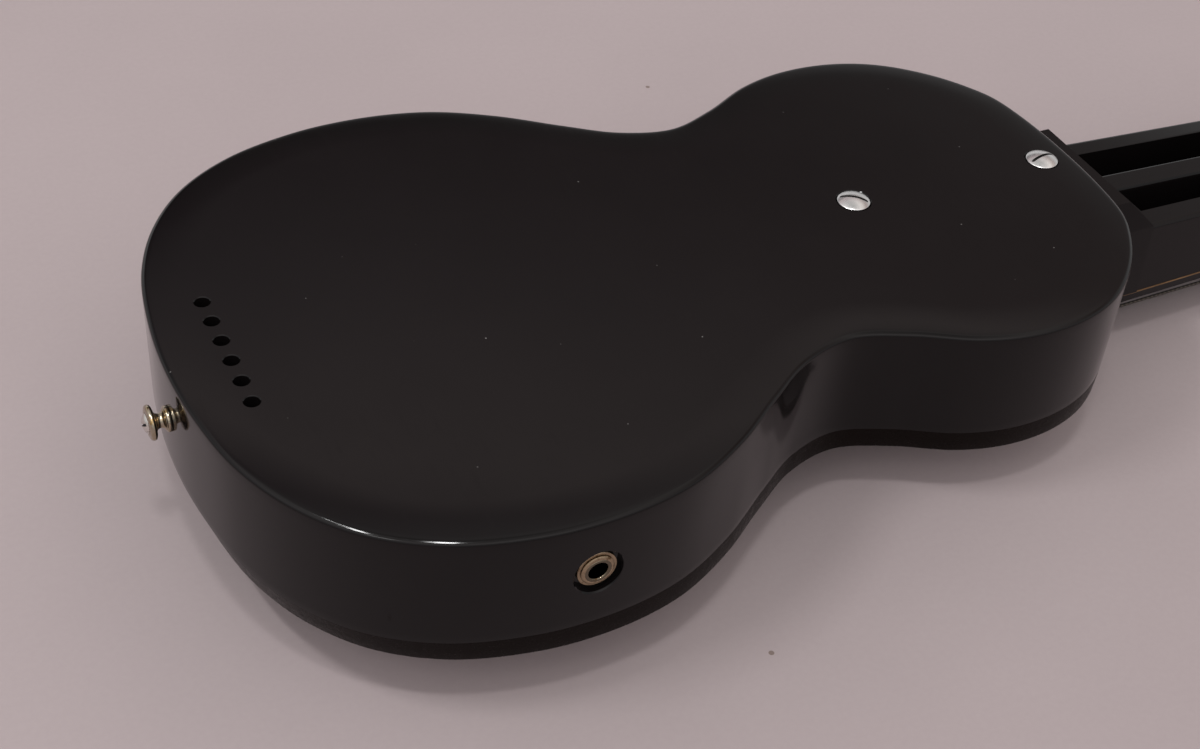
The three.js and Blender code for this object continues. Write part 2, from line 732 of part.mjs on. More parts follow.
function magnet(side) {
  const outer = magnetHeight / 2;
  const inner = outer - magnetThickness;
  const shape = new THREE.Shape();
  shape.moveTo(magnetGap / 2, magnetMiddle - outer);
  shape.lineTo(magnetBend, magnetMiddle - outer);
  shape.absarc(magnetBend, magnetMiddle, outer, -Math.PI / 2, Math.PI / 2, false);
  shape.lineTo(magnetGap / 2, magnetMiddle + outer);
  shape.lineTo(magnetGap / 2, magnetMiddle + inner);
  shape.lineTo(magnetBend, magnetMiddle + inner);
  shape.absarc(magnetBend, magnetMiddle, inner, Math.PI / 2, -Math.PI / 2, true);
  shape.lineTo(magnetGap / 2, magnetMiddle - inner);
  const whole = section(shape, magnetFromTail - magnetWidth / 2, magnetFromTail + magnetWidth / 2);
  return side > 0 ? whole : whole.mirror([0, 1, 0]);
}

function pickupParts() {
  const x = magnetFromTail;
  const legTop = magnetLower - magnetThickness;
  const plateTop = legTop - seat - basePlateThickness;
  const poles = Array.from({ length: stringCount }, (_, i) => acrossString(stringRowSpacing, i));
  let basePlate = slab(x - basePlateWidth / 2, x + basePlateWidth / 2, -magnetBend, magnetBend,
    plateTop, legTop - seat);
  for (const at of pickupScrews) {
    basePlate = basePlate.subtract(bar(pickupScrewShank / 2 + fit, overrun * 2, [0, 0, -1],
      [at, 0, legTop + overrun], smallSides));
  }
  const poleTips = bridgeStrings + poleToString;
  const bobbinFoot = plateTop - seat;
  const polePieces = poles.map((y) => bar(poleDiameter / 2, plateTop + seat / 2 - poleTips, [0, 0, -1],
    [x, y, plateTop + seat / 2], smallSides));
  basePlate = join([basePlate, ...polePieces]);
  const flange = (z) => slab(x - bobbinWidth / 2, x + bobbinWidth / 2, -bobbinLength / 2, bobbinLength / 2,
    z, z + bobbinFlange);
  const coreLength = (stringCount - 1) * stringRowSpacing + poleDiameter + 2 * bobbinWall;
  let bobbin = join([flange(coilTop), flange(bobbinFoot - bobbinFlange), slab(x - bobbinCore / 2,
    x + bobbinCore / 2, -coreLength / 2, coreLength / 2, coilTop, bobbinFoot)]);
  for (const y of poles) {
    bobbin = bobbin.subtract(bar(poleDiameter / 2 + fit, magnetHeight, [0, 0, -1],
      [x, y, bobbinFoot + overrun], smallSides));
  }
  const bottom = coilTop + bobbinFlange + fit;
  const top = bobbinFoot - bobbinFlange - fit;
  const winding = plan(roundedBox(x, coilWidth, coilEnd * 2, coilWidth / 4), bottom, top);
  const coil = winding.subtract(slab(x - bobbinCore / 2 - fit, x + bobbinCore / 2 + fit,
    -coreLength / 2 - fit, coreLength / 2 + fit, bottom - overrun, top + overrun));
  return { basePlate, bobbin, coil, screwSeat: plateTop - seat };
}

function roundedBox(x, width, length, radius) {
  const shape = new THREE.Shape();
  const corners = [[-1, -1, Math.PI], [1, -1, -Math.PI / 2], [1, 1, 0], [-1, 1, Math.PI / 2]];
  for (const [sx, sy, start] of corners) {
    const centre = [x + sx * (width / 2 - radius), sy * (length / 2 - radius)];
    shape.absarc(...centre, radius, start, start + Math.PI / 2, false);
  }
  return shape;
}

function regularShape(count, across) {
  const radius = across / 2 / Math.cos(Math.PI / count);
  return new THREE.Shape(Array.from({ length: count }, (_, i) => {
    const angle = 2 * Math.PI * (i + 1 / 2) / count;
    return new THREE.Vector2(radius * Math.cos(angle), radius * Math.sin(angle));
  }));
}

const coverBack = face - seat;
const coverFace = coverBack - coverThickness;

function cover([, x0, x1, spine], side) {
  let plate = chamber(sideWall - coverLap, x0 - coverLap, x1 + coverLap, spine - 2 * coverLap, side,
    coverFace, coverBack);
  plate = plate.subtract(bar(potThread / 2 + fit, overrun * 2, [0, 0, -1],
    [controlFromTail, side * controlAcross, coverBack + overrun]));
  return plate;
}

function controlParts(side) {
  const at = [controlFromTail, side * controlAcross, coverBack + seat];
  const down = [0, 0, -1];
  const bore = shaftDiameter / 2 + fit;
  const thread = potThread / 2;
  const shoulder = potDiameter / 2;
  const threadEnd = coverThickness + potThreadLength;
  const boreEnd = -(potHeight - backRound * 2);
  const pot = turned([
    [0, -potHeight], [shoulder * 0.94, -potHeight], [shoulder, -potHeight * 0.94],
    [shoulder, 0], [thread, 0], [thread, threadEnd], [bore, threadEnd], [bore, boreEnd], [0, boreEnd],
  ], down, at);
  const shaft = bar(shaftDiameter / 2, shaftLength, down, [at[0], at[1], at[2] - boreEnd - fit]);
  const nutFoot = coverFace - seat;
  const nut = plan(regularShape(6, potNutDiameter), 0, potNutThickness)
    .subtract(bar(thread + seat, overrun * 2, [0, 0, 1], [0, 0, -overrun]))
    .translate([at[0], at[1], nutFoot - potNutThickness]);
  const knobFoot = at[2] - threadEnd - knobClearance;
  const shaftTip = at[2] - boreEnd - fit - shaftLength;
  const knob = plan(regularShape(8, knobDiameter), 0, knobHeight, knobBevel, 1)
    .translate([at[0], at[1], knobFoot - knobHeight])
    .subtract(bar(shaftDiameter / 2 + fit / 2, knobFoot - shaftTip + fit + overrun, down,
      [at[0], at[1], knobFoot + overrun]));
  return { pot, shaft, nut, knob };
}

const plateTopSide = headBack + seat + tunerPlateThickness;
const gearFoot = plateTopSide + gearLift;
const wormLevel = gearFoot + gearThickness / 2;
const wormOffset = (gearDiameter + wormDiameter) / 2 + fit;
const plateStart = nutFromTail + tunerPlateStart;

function tunerPlate(side) {
  const reach = tunerPlateWidth / 2;
  const middle = side * tunerAcross;
  let plate = slab(plateStart, plateStart + tunerPlateLength, middle - reach, middle + reach,
    headBack + seat, plateTopSide);
  for (const tuner of tuners.filter((each) => each.side === side)) {
    const x = tuner.x + wormOffset;
    for (const end of [-1, 1]) {
      const y = middle + end * earSpread / 2;
      plate = plate.add(slab(x - earWidth / 2, x + earWidth / 2, y - earThickness / 2, y + earThickness / 2,
        plateTopSide - seat, plateTopSide + earHeight));
    }
    plate = plate.subtract(bar(wormShaft / 2 + fit, tunerPlateWidth * 2, [0, 1, 0],
      [x, middle - tunerPlateWidth, wormLevel], smallSides));
    plate = plate.subtract(bar(postDiameter / 2 + fit, overrun * 2, [0, 0, -1],
      [tuner.x, tuner.y, headBack + overrun], smallSides));
  }
  return plate;
}

function tunerPost(tuner) {
  const teeth = new THREE.Shape(Array.from({ length: gearTeeth * 2 }, (_, i) => {
    const radius = gearDiameter / 2 - (i % 2) * gearToothDepth;
    const angle = Math.PI * i / gearTeeth;
    return new THREE.Vector2(radius * Math.cos(angle), radius * Math.sin(angle));
  }));
  const gear = plan(teeth, gearFoot, gearFoot + gearThickness).translate([tuner.x, tuner.y, 0]);
  const tip = fingerboardFace - postProud;
  const length = gearFoot + gearThickness + gearLift - tip;
  return gear.add(bar(postDiameter / 2, length, [0, 0, -1], [tuner.x, tuner.y, tip + length], smallSides));
}

function tunerWorm(tuner) {
  const root = wormDiameter / 2 - wormCrestHeight;
  const shaft = wormShaft / 2;
  const start = earSpread / 2 + earThickness;
  const buttonFoot = headWidth / 2 - tunerAcross + tunerButtonGap;
  const half = wormLength / 2;
  const crest = wormLength / wormCrests;
  const threads = Array.from({ length: wormCrests }, (_, i) => [
    [root, -half + crest * i], [root + wormCrestHeight, -half + crest * (i + 1 / 2)],
  ]).flat();
  const spindle = turned([
    [0, -start], [shaft, -start], [shaft, -half], ...threads, [root, half], [shaft, half],
    [shaft, buttonFoot + tunerButtonBevel], [0, buttonFoot + tunerButtonBevel],
  ], [0, tuner.side, 0], [tuner.x + wormOffset, tuner.y, wormLevel], smallSides);
  const outline = new THREE.Shape();
  outline.absellipse(0, 0, tunerButtonWidth / 2, tunerButtonHeight / 2, 0, 2 * Math.PI);
  const geometry = new THREE.ExtrudeGeometry(outline, {
    depth: tunerButtonThickness - 2 * tunerButtonBevel,
    bevelThickness: tunerButtonBevel,
    bevelSize: tunerButtonBevel,
    bevelOffset: -tunerButtonBevel,
    bevelSegments: 2,
    curveSegments: smallSides / 2,
  });
  geometry.translate(0, 0, tunerButtonBevel - tunerButtonThickness / 2);
  geometry.applyMatrix4(alongX);
  const across = tunerAcross + buttonFoot + tunerButtonWidth / 2;
  geometry.translate(tuner.x + wormOffset, tuner.side * across, wormLevel);
  return spindle.add(solid(geometry));
}

// A string from its ball in the body, over the bridge and the nut, and round its post
function stringSolid(i) {
  const diameter = stringDiameters[i];
  const tuner = tuners.find((each) => each.string === i);
  const rowY = acrossString(stringRowSpacing, i);
  const nutY = acrossString(nutSpacing, i);
  const ballZ = -ballDepth;
  const radius = (postDiameter + diameter) / 2 + fit;
  const windLevel = fingerboardFace - nutStringHeight * windShare;
  const pitch = diameter + fit;
  const turn = tuner.side;
  const steps = Math.round(stringTurns * smallSides);
  const startAngle = -turn * Math.PI / 2;
  const winding = Array.from({ length: steps + 1 }, (_, k) => {
    const angle = startAngle + turn * 2 * Math.PI * k / smallSides;
    return [tuner.x + radius * Math.cos(angle), tuner.y + radius * Math.sin(angle),
      windLevel + pitch * k / smallSides];
  });
  const ball = turned([
    [0, -ballDiameter / 2], [ballDiameter / 2, -ballDiameter / 3], [ballDiameter / 2, ballDiameter / 3],
    [0, ballDiameter / 2],
  ], [0, 0, 1], [stringRowFromTail, rowY, ballZ], smallSides);
  const line = tube([
    [stringRowFromTail, rowY, ballZ], [stringRowFromTail, rowY, face - diameter],
    [bridgeFromTail, rowY, bridgeStrings], [nutFromTail, nutY, nutStrings], ...winding,
  ], diameter);
  return ball.add(line);
}

function bridgeSolid() {
  const foot = slab(bridgeFromTail - bridgeFoot / 2, bridgeFromTail + bridgeFoot / 2, -bridgeLength / 2,
    bridgeLength / 2, face - seat - bridgeThickness, face - seat);
  const wall = slab(bridgeFromTail - saddleThickness / 2, bridgeFromTail + saddleThickness / 2,
    -bridgeLength / 2, bridgeLength / 2, bridgeStrings - saddleCover, face - seat - bridgeThickness / 2);
  let whole = foot.add(wall);
  for (let i = 0; i < stringCount; i += 1) {
    whole = whole.subtract(stringSlot(bridgeFromTail, acrossString(stringRowSpacing, i), bridgeStrings, i));
  }
  return whole;
}

// The notch that a string lies in, open towards the face
function stringSlot(x, y, z, i) {
  const half = stringDiameters[i] / 2 + fit;
  const top = z - 2 * overrun;
  return slab(x - bridgeFoot, x + bridgeFoot, y - half, y + half, top, z + half + slotRelief);
}

function nutSolid() {
  let whole = slab(nutFromTail - nutThickness / 2, nutFromTail + nutThickness / 2, -nutLength / 2,
    nutLength / 2, nutStrings - nutCover, fingerboardFace - seat);
  for (let i = 0; i < stringCount; i += 1) {
    whole = whole.subtract(stringSlot(nutFromTail, acrossString(nutSpacing, i), nutStrings, i));
  }
  return whole;
}

add('body_shell', bodyShell(), ...moulded);
add('neck', neck(), ...moulded);
add('nut', nutSolid(), ...nickel);
add('bridge', bridgeSolid(), ...nickel);
for (let i = 0; i < stringCount; i += 1) {
  add(`string_${stringCount - i}`, stringSolid(i), ...steel);
}
neckScrewFromTail.forEach((x, i) => {
  const turn = neckScrewTurn[i];
  const screw = ovalScrew(screwHeadDiameter, screwDome, screwHeadDepth, screwShank, screwLength, turn);
  add(`neck_screw_${i + 1}`, screw.translate([x, neckScrewAcross[i], 0]), ...nickel);
});
add('strap_button', strapButton(), ...agedBrass);
add('strap_button_screw', ovalScrew(buttonScrewHead, buttonScrewDome, buttonScrewSink, buttonScrewShank,
  buttonScrewLength, 0).rotate([0, -90, 0]).translate([-buttonLength - seat, 0, rimZ]), ...nickel);

const jack = jackParts();
add('jack_barrel', jack.barrel, ...nickel);
add('jack_washer', jack.washer, ...agedBrass);
add('jack_nut', jack.nut, ...nickel);
add('jack_insulator', jack.stack, ...fibre);
add('jack_contact', jack.contact, ...agedBrass);

const pickup = pickupParts();
for (const [sideName, side] of sides) {
  add(`magnet_${sideName}`, magnet(side), ...chrome);
}
add('pole_plate', pickup.basePlate, ...steel);
add('coil_bobbin', pickup.bobbin, ...blackPlastic);
add('coil_winding', pickup.coil, ...copper);
pickupScrews.forEach((x, i) => {
  const screw = turned([
    [0, -pickupScrewLength], [pickupScrewShank / 2, -pickupScrewLength], [pickupScrewShank / 2, 0],
    [pickupScrewHead / 2, 0], [pickupScrewHead / 2, pickupScrewHeadHeight / 2],
    [pickupScrewHead / 4, pickupScrewHeadHeight], [0, pickupScrewHeadHeight],
  ], [0, 0, -1], [x, 0, pickup.screwSeat], smallSides);
  add(`pickup_screw_${i + 1}`, screw, ...nickel);
});

for (const bout of bouts) {
  for (const [sideName, side] of sides) {
    add(`cover_${bout[0]}_${sideName}`, cover(bout, side), ...chrome);
  }
}

const controlNames = { bass: 'tone', treble: 'volume' };
for (const [sideName, side] of sides) {
  const control = controlParts(side);
  const name = controlNames[sideName];
  add(`${name}_pot`, control.pot, ...steel);
  add(`${name}_shaft`, control.shaft, ...agedBrass);
  add(`${name}_pot_nut`, control.nut, ...nickel);
  add(`${name}_knob`, control.knob, ...blackPlastic);
}

const potBack = coverBack + seat + potHeight;
const capacitorStart = [controlFromTail - capacitorLength / 2, -controlAcross,
  potBack + capacitorDiameter / 2 + fit];
add('tone_capacitor', bar(capacitorDiameter / 2, capacitorLength, [1, 0, 0], capacitorStart, smallSides),
  ...waxedPaper);

// Wires: from the coil to the volume control, across to the tone control, and on to the jack
const nearPot = (potDiameter + wireDiameter) / 2 + fit;
const besideSpine = lowerSpineWidth / 2 + wireDepth;
const coilLevel = (coilTop + magnetLower - magnetThickness - basePlateThickness) / 2;
add('coil_lead', tube([
  [magnetFromTail, leadY, coilLevel], [leadX, leadY, coilLevel], [leadX, leadY, wireLevel],
  [leadX, besideSpine, wireLevel], [controlFromTail - nearPot, controlAcross, wireLevel],
], wireDiameter), ...wireCloth);
const linkEnd = controlAcross - potDiameter / 2 - fit;
add('control_lead', tube([
  [controlFromTail, -linkEnd, wireLevel], [controlFromTail, linkEnd, wireLevel],
], wireDiameter), ...wireCloth);
add('jack_lead', tube([
  [jackFromTail, jack.tail + wireDiameter / 2 + fit, jack.level], [jackFromTail, -besideSpine, jack.level],
  [controlFromTail - nearPot, -controlAcross, wireLevel],
], wireDiameter), ...wireCloth);

for (const [sideName, side] of sides) {
  add(`tuner_plate_${sideName}`, tunerPlate(side), ...nickel);
}
for (const tuner of tuners) {
  add(`tuner_post_${tuner.name}`, tunerPost(tuner), ...nickel);
  add(`tuner_button_${tuner.name}`, tunerWorm(tuner), ...nickel);
}

guitar.position.set(-(headEnd + buttonEnd) / 2, 0, restHeight);
guitar.updateMatrixWorld(true);

export default guitar;
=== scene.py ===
"""Lap steel guitar, lying face down: its finely shaped pieces, their finishes and the stage."""

import math

import bmesh
import bpy
import numpy as np
from bpy.props import FloatProperty, FloatVectorProperty, IntProperty, PointerProperty
from bpy.types import Operator, Panel, PropertyGroup
from mathutils import Matrix, Vector


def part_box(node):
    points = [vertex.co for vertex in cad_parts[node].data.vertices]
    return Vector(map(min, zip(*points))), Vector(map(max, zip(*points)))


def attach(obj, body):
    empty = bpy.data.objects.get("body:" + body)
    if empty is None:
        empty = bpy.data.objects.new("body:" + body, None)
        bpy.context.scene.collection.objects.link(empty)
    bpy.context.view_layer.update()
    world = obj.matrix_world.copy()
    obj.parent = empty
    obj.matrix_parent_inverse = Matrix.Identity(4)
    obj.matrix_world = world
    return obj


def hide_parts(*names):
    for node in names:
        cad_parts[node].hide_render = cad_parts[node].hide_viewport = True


bl_info = {
    "name": "Lap Steel Guitar",
    "version": (1, 0, 0),
    "blender": (4, 5, 0),
    "location": "3D View > Sidebar > Guitar",
    "description": "Builds the pieces of a moulded lap steel guitar and a plain stage for it",
    "category": "Add Mesh",
}

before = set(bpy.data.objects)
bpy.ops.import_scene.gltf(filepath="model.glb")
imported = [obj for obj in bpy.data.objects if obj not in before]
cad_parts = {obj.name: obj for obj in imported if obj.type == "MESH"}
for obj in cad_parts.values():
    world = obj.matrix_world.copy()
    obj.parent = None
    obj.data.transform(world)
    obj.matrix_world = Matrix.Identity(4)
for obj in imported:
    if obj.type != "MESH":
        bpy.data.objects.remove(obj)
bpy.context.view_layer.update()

MM = 0.001
BODY_LOW, BODY_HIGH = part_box("body_shell")
TAIL_X = BODY_LOW.x
BACK_Z = BODY_HIGH.z
BODY = "guitar"
FINISHES = {}

# Places in millimetres from the tail, the middle line and the back's flat
STRING_ROW = 20.5
STRING_SPACING = 10.58
STRAP_LEVEL = -22.7
NECK_LINE_LEVEL = -53.4
FRET_LEVEL = -57.0
NECK_SCREWS = ((257.9, 0.0, -0.65), (341.7, -2.0, 0.14))
CAMERA_PLACE = (-97.73, -457.76, 396.81)

# Millimetres in from the side wall to the jack's flange, and from a cover plate's edge to its screws
JACK_FLANGE = 5.9
SMALL_SCREW_MARGIN = 2.6

# Shares of a cover plate's length at which its small screws sit
SMALL_SCREW_SHARES = (0.12, 0.5, 0.88)

# Angles in degrees: the camera's azimuth, elevation and roll, and the flat on the rolled edge
CAMERA_ANGLES = (29.21, 40.65, 5.26)
FLAT_ANGLE = 59.7

# Shares of the body's length and half width, from the tail round one side to the neck end
OUTLINE_SHARES = (
    (0, 0), (0.0045, 0.218), (0.0192, 0.449), (0.0479, 0.646), (0.0913, 0.808), (0.1521, 0.925),
    (0.2251, 0.987), (0.2817, 1), (0.338, 0.985), (0.3868, 0.945), (0.4451, 0.853), (0.5039, 0.726),
    (0.5549, 0.627), (0.6101, 0.586), (0.6648, 0.64), (0.7245, 0.733), (0.7746, 0.773),
    (0.8265, 0.774), (0.8732, 0.739), (0.9113, 0.675), (0.9493, 0.567), (0.9746, 0.458),
    (0.9887, 0.367), (0.9972, 0.21), (1, 0),
)


def length_setting(name, description, default, least=0.0):
    """A length for the panel, given in millimetres."""
    return FloatProperty(name=name, description=description, default=default * MM, min=least * MM,
                         unit="LENGTH")


def colour_setting(name, description, default):
    """A colour for the panel."""
    return FloatVectorProperty(name=name, description=description, default=default, subtype="COLOR", size=3,
                               min=0, max=1)


def power_setting(name, description, default):
    """A lamp's power for the panel."""
    return FloatProperty(name=name, description=description, default=default, min=0.0, unit="POWER")


class GuitarSizes(PropertyGroup):
    """Sizes of the moulding and its fittings that are finer than the frame's solids."""
    outline_steps: IntProperty(name="Outline steps", description="Points round the body's outline",
                               default=512, min=64)
    edge_flat: length_setting("Edge flat", "Width of the fine flat on the rolled back edge", 0.42)
    edge_roll: length_setting("Edge roll", "Radius of the back's edge", 1.5, 0.1)
    crown_width: length_setting("Crown width", "How far in from its edge the back starts to fall", 17, 3)
    crown_fall: length_setting("Crown fall", "How much lower the back lies at its edge", 0.6)
    seam_depth: length_setting("Seam depth", "Depth of the line round the side wall", 0.05)
    lip_depth: length_setting("Lip depth", "Height of the tapered lip at the face", 11.4, 1)
    lip_taper: length_setting("Lip taper", "How far the lip draws in at the face", 1.9)
    lip_lean: length_setting("Lip lean", "How far the lip leans to the neck at the face", 2.2)
    face_round: length_setting("Face edge", "Radius of the edge at the face", 1.2, 0.1)
    corner_break: length_setting("Corner break", "Width of the neck's softened corners", 0.5, 0.05)
    rail_round: length_setting("Rail rounding", "Width of the rounding on the neck's rails", 1.9, 0.05)


class GuitarColours(PropertyGroup):
    """Colours of the finishes."""
    moulding: colour_setting("Moulding", "Polished black moulding", (0.0042, 0.0033, 0.0034))
    moulding_lip: colour_setting("Moulding lip", "The browner lip at the face", (0.0056, 0.0034, 0.0027))
    neck_line: colour_setting("Neck line", "The brown line at the fingerboard's edge", (0.20, 0.115, 0.060))
    fret_paint: colour_setting("Fret paint", "The paint on the raised frets", (0.72, 0.68, 0.58))
    nickel: colour_setting("Nickel", "Nickel plating", (0.72, 0.69, 0.65))
    aged_brass: colour_setting("Aged brass", "Brass where the plating is worn", (0.36, 0.24, 0.10))
    chrome: colour_setting("Chrome", "Bright plating", (0.80, 0.80, 0.81))
    floor: colour_setting("Floor", "The pale table", (0.410, 0.347, 0.352))


class GuitarStage(PropertyGroup):
    """The light and the camera."""
    key_power: power_setting("Key lamp", "Power of the long, narrow lamp beyond the tail", 2.30)
    side_power: power_setting("Side lamp", "Power of the square lamp beyond the tail, on the near side", 0.60)
    top_power: power_setting("Top lamp", "Power of the square lamp high over the near side", 1.55)
    near_power: power_setting("Near lamp", "Power of the narrow lamp high over the near side", 2.55)
    room_strength: FloatProperty(name="Room", description="Strength of the light from the room",
                                 default=1.0, min=0.0)
    lens: FloatProperty(name="Lens", description="Focal length of the camera", default=56.57, min=1.0,
                        unit="CAMERA")


def sizes():
    """The sizes set in the panel."""
    return bpy.context.scene.guitar_sizes


def colours():
    """The colours set in the panel."""
    return bpy.context.scene.guitar_colours


def local(x, y, z):
    """A place given from the tail, the middle line and the back's flat, in millimetres."""
    return Vector((TAIL_X + x * MM, y * MM, BACK_Z + z * MM))


def in_mm(*pairs):
    """Profile points given in millimetres, in metres."""
    return [(radius * MM, height * MM) for radius, height in pairs]


# Materials

def shader_node(tree, kind, values=None, **settings):
    """A shader node with its settings and the values of its inputs."""
    made = tree.nodes.new(kind)
    for key, value in settings.items():
        setattr(made, key, value)
    for key, value in (values or {}).items():
        made.inputs[key].default_value = value
    return made


def wire(tree, source, target):
    tree.links.new(source, target)


def rgba(colour):
    return (colour[0], colour[1], colour[2], 1.0)


def arithmetic(tree, operation, first, second, clamp=False):
    """A math node on sockets or numbers; returns its output."""
    made = shader_node(tree, "ShaderNodeMath", operation=operation, use_clamp=clamp)
    for index, value in enumerate((first, second)):
        if isinstance(value, (int, float)):
            made.inputs[index].default_value = value
        else:
            wire(tree, value, made.inputs[index])
    return made.outputs[0]


def blend_colours(tree, share, first, second):
    """Mixes two colours, each a socket or a triple, by a share; returns the output."""
    made = shader_node(tree, "ShaderNodeMix", data_type="RGBA")
    wire(tree, share, made.inputs[0])
    for index, value in ((6, first), (7, second)):
        if hasattr(value, "links"):
            wire(tree, value, made.inputs[index])
        else:
            made.inputs[index].default_value = rgba(value)
    return made.outputs[2]


def remap(tree, source, low, high, to_low, to_high):
    """A socket's values from one range carried over to another, and held within it."""
    made = shader_node(tree, "ShaderNodeMapRange",
                       {1: low, 2: high, 3: to_low, 4: to_high}, clamp=True)
    wire(tree, source, made.inputs[0])
    return made.outputs[0]


def places(tree, stretch=(1, 1, 1)):
    """The piece's own coordinates in metres, stretched."""
    where = shader_node(tree, "ShaderNodeTexCoord")
    mapping = shader_node(tree, "ShaderNodeMapping")
    mapping.inputs["Scale"].default_value = stretch
    wire(tree, where.outputs["Object"], mapping.inputs["Vector"])
    return mapping.outputs[0]


def grain(tree, scale, detail, rough, stretch=(1, 1, 1)):
    """Noise on the piece's own coordinates."""
    made = shader_node(tree, "ShaderNodeTexNoise", {"Scale": scale, "Detail": detail, "Roughness": rough})
    wire(tree, places(tree, stretch), made.inputs["Vector"])
    return made.outputs["Fac"]


def scaled_colour(tree, colour, share):
    """A colour multiplied by a share; both are sockets."""
    made = shader_node(tree, "ShaderNodeVectorMath", operation="SCALE")
    wire(tree, colour, made.inputs[0])
    wire(tree, share, made.inputs["Scale"])
    return made.outputs[0]


def split(tree, source, kind="XYZ"):
    """The three parts of a place or a colour."""
    made = shader_node(tree, "ShaderNodeSeparate" + kind)
    wire(tree, source, made.inputs[0])
    return made.outputs


def specks(tree, scale, reach, channel, above):
    """Specks of dust as a share, and the random colour of each one's cell."""
    dust = shader_node(tree, "ShaderNodeTexVoronoi", {"Scale": scale}, voronoi_dimensions="2D")
    wire(tree, places(tree), dust.inputs["Vector"])
    chosen = split(tree, dust.outputs["Color"], "Color")
    share = arithmetic(tree, "MULTIPLY", arithmetic(tree, "LESS_THAN", dust.outputs["Distance"], reach),
                       arithmetic(tree, "GREATER_THAN", chosen[channel], above))
    return share, chosen


def bump(tree, height, strength, distance, after=None):
    """The bump that a height makes, on top of an earlier one if given."""
    made = shader_node(tree, "ShaderNodeBump", {"Strength": strength, "Distance": distance})
    wire(tree, height, made.inputs["Height"])
    if after is not None:
        wire(tree, after, made.inputs["Normal"])
    return made.outputs[0]


def new_finish(name, **values):
    """A material with its principled shader; returns the material, its tree and the shader."""
    material = bpy.data.materials.new(name)
    material.use_nodes = True
    tree = material.node_tree
    shader = tree.nodes["Principled BSDF"]
    for key, value in values.items():
        shader.inputs[key.replace("_", " ").title().replace("Ior", "IOR")].default_value = value
    return material, tree, shader


def surface(tree, shader, base, normal, rough=None):
    """Wires the colour, the normal and, if given, the roughness into a shader."""
    wire(tree, base, shader.inputs["Base Color"])
    wire(tree, normal, shader.inputs["Normal"])
    if rough is not None:
        wire(tree, rough, shader.inputs["Roughness"])


def lip_finish(name):
    """The duller, browner moulding of the lip, with a fine tooth."""
    material, tree, shader = new_finish(name, ior=1.10)
    patchy = remap(tree, grain(tree, 30.0, 3.0, 0.6, (1, 1, 0.4)), 0.3, 0.7, 0.0, 1.0)
    base = blend_colours(tree, patchy, [c * 0.75 for c in colours().moulding_lip], colours().moulding_lip)
    tooth = grain(tree, 500.0, 3.0, 0.6)
    surface(tree, shader, base, bump(tree, tooth, 0.04, 0.02 * MM), remap(tree, tooth, 0.3, 0.7, 0.22, 0.36))
    return material


def moulding_finish(name, neck=False):
    """Polished black moulding with wear and dust, and on the neck its brown line and painted frets."""
    paint = colours()
    material, tree, shader = new_finish(name, ior=1.3)
    cloud = grain(tree, 9.0, 4.0, 0.55)
    base = blend_colours(tree, remap(tree, cloud, 0.35, 0.65, 0.0, 1.0),
                         [c * 0.85 for c in paint.moulding], [c * 1.2 for c in paint.moulding])
    level = split(tree, places(tree))[2]
    if neck:
        line = BACK_Z + NECK_LINE_LEVEL * MM
        full, faded = 0.15 * MM, 0.21 * MM
        below = remap(tree, level, line - faded, line - full, 0.0, 1.0)
        above = remap(tree, level, line + full, line + faded, 1.0, 0.0)
        speckle = remap(tree, grain(tree, 420.0, 2.0, 0.5, (0.2, 1, 1)), 0.3, 0.7, 0.55, 1.0)
        on_line = arithmetic(tree, "MULTIPLY", arithmetic(tree, "MULTIPLY", below, above), speckle)
        base = blend_colours(tree, on_line, base, paint.neck_line)
        fret = BACK_Z + FRET_LEVEL * MM
        on_fret = remap(tree, level, fret - 0.12 * MM, fret, 1.0, 0.0)
        base = blend_colours(tree, on_fret, base, paint.fret_paint)
    speck, chosen = specks(tree, 42.0, 0.011, 0, 0.72)
    on_back = remap(tree, level, BACK_Z - 0.9 * MM, BACK_Z - 0.8 * MM, 0.0, 0.55)
    faint = arithmetic(tree, "POWER", chosen[1], 2.5)
    speck = arithmetic(tree, "MULTIPLY", speck, faint)
    base = blend_colours(tree, arithmetic(tree, "MULTIPLY", speck, on_back), base, (0.30, 0.29, 0.28))
    rub = grain(tree, 26.0, 5.0, 0.6)
    fine = grain(tree, 700.0, 2.0, 0.6, (1, 0.08, 1))
    cross = grain(tree, 640.0, 2.0, 0.6, (0.07, 1, 1))
    rough = arithmetic(tree, "ADD", remap(tree, rub, 0.3, 0.7, 0.05, 0.11),
                       remap(tree, fine, 0.58, 0.75, 0.0, 0.05))
    scratches = arithmetic(tree, "ADD", remap(tree, fine, 0.62, 0.8, 0.0, 1.0),
                           remap(tree, cross, 0.64, 0.8, 0.0, 1.0))
    ripple = bump(tree, cloud, 0.05, 0.4 * MM)
    surface(tree, shader, base, bump(tree, scratches, 0.05, 0.02 * MM, ripple), rough)
    return material


def metal_finish(name, colour, rough=(0.12, 0.28), tarnish=None, tarnish_share=0.0, scratch=0.10):
    """Plated or bare metal with uneven polish, fine scratches and, if asked, tarnish."""
    material, tree, shader = new_finish(name, metallic=1.0)
    patches = grain(tree, 160.0, 4.0, 0.6)
    dark = [c * 0.82 for c in colour]
    base = blend_colours(tree, remap(tree, patches, 0.35, 0.65, 0.0, 1.0), colour, dark)
    if tarnish is not None:
        spots = remap(tree, grain(tree, 380.0, 5.0, 0.65), 0.62 - 0.25 * tarnish_share,
                      0.70 - 0.15 * tarnish_share, 0.0, 1.0)
        base = blend_colours(tree, spots, base, tarnish)
    polish = grain(tree, 900.0, 3.0, 0.6, (1, 1, 0.2))
    surface(tree, shader, base, bump(tree, polish, scratch, 0.03 * MM), remap(tree, polish, 0.3, 0.7, *rough))
    return material


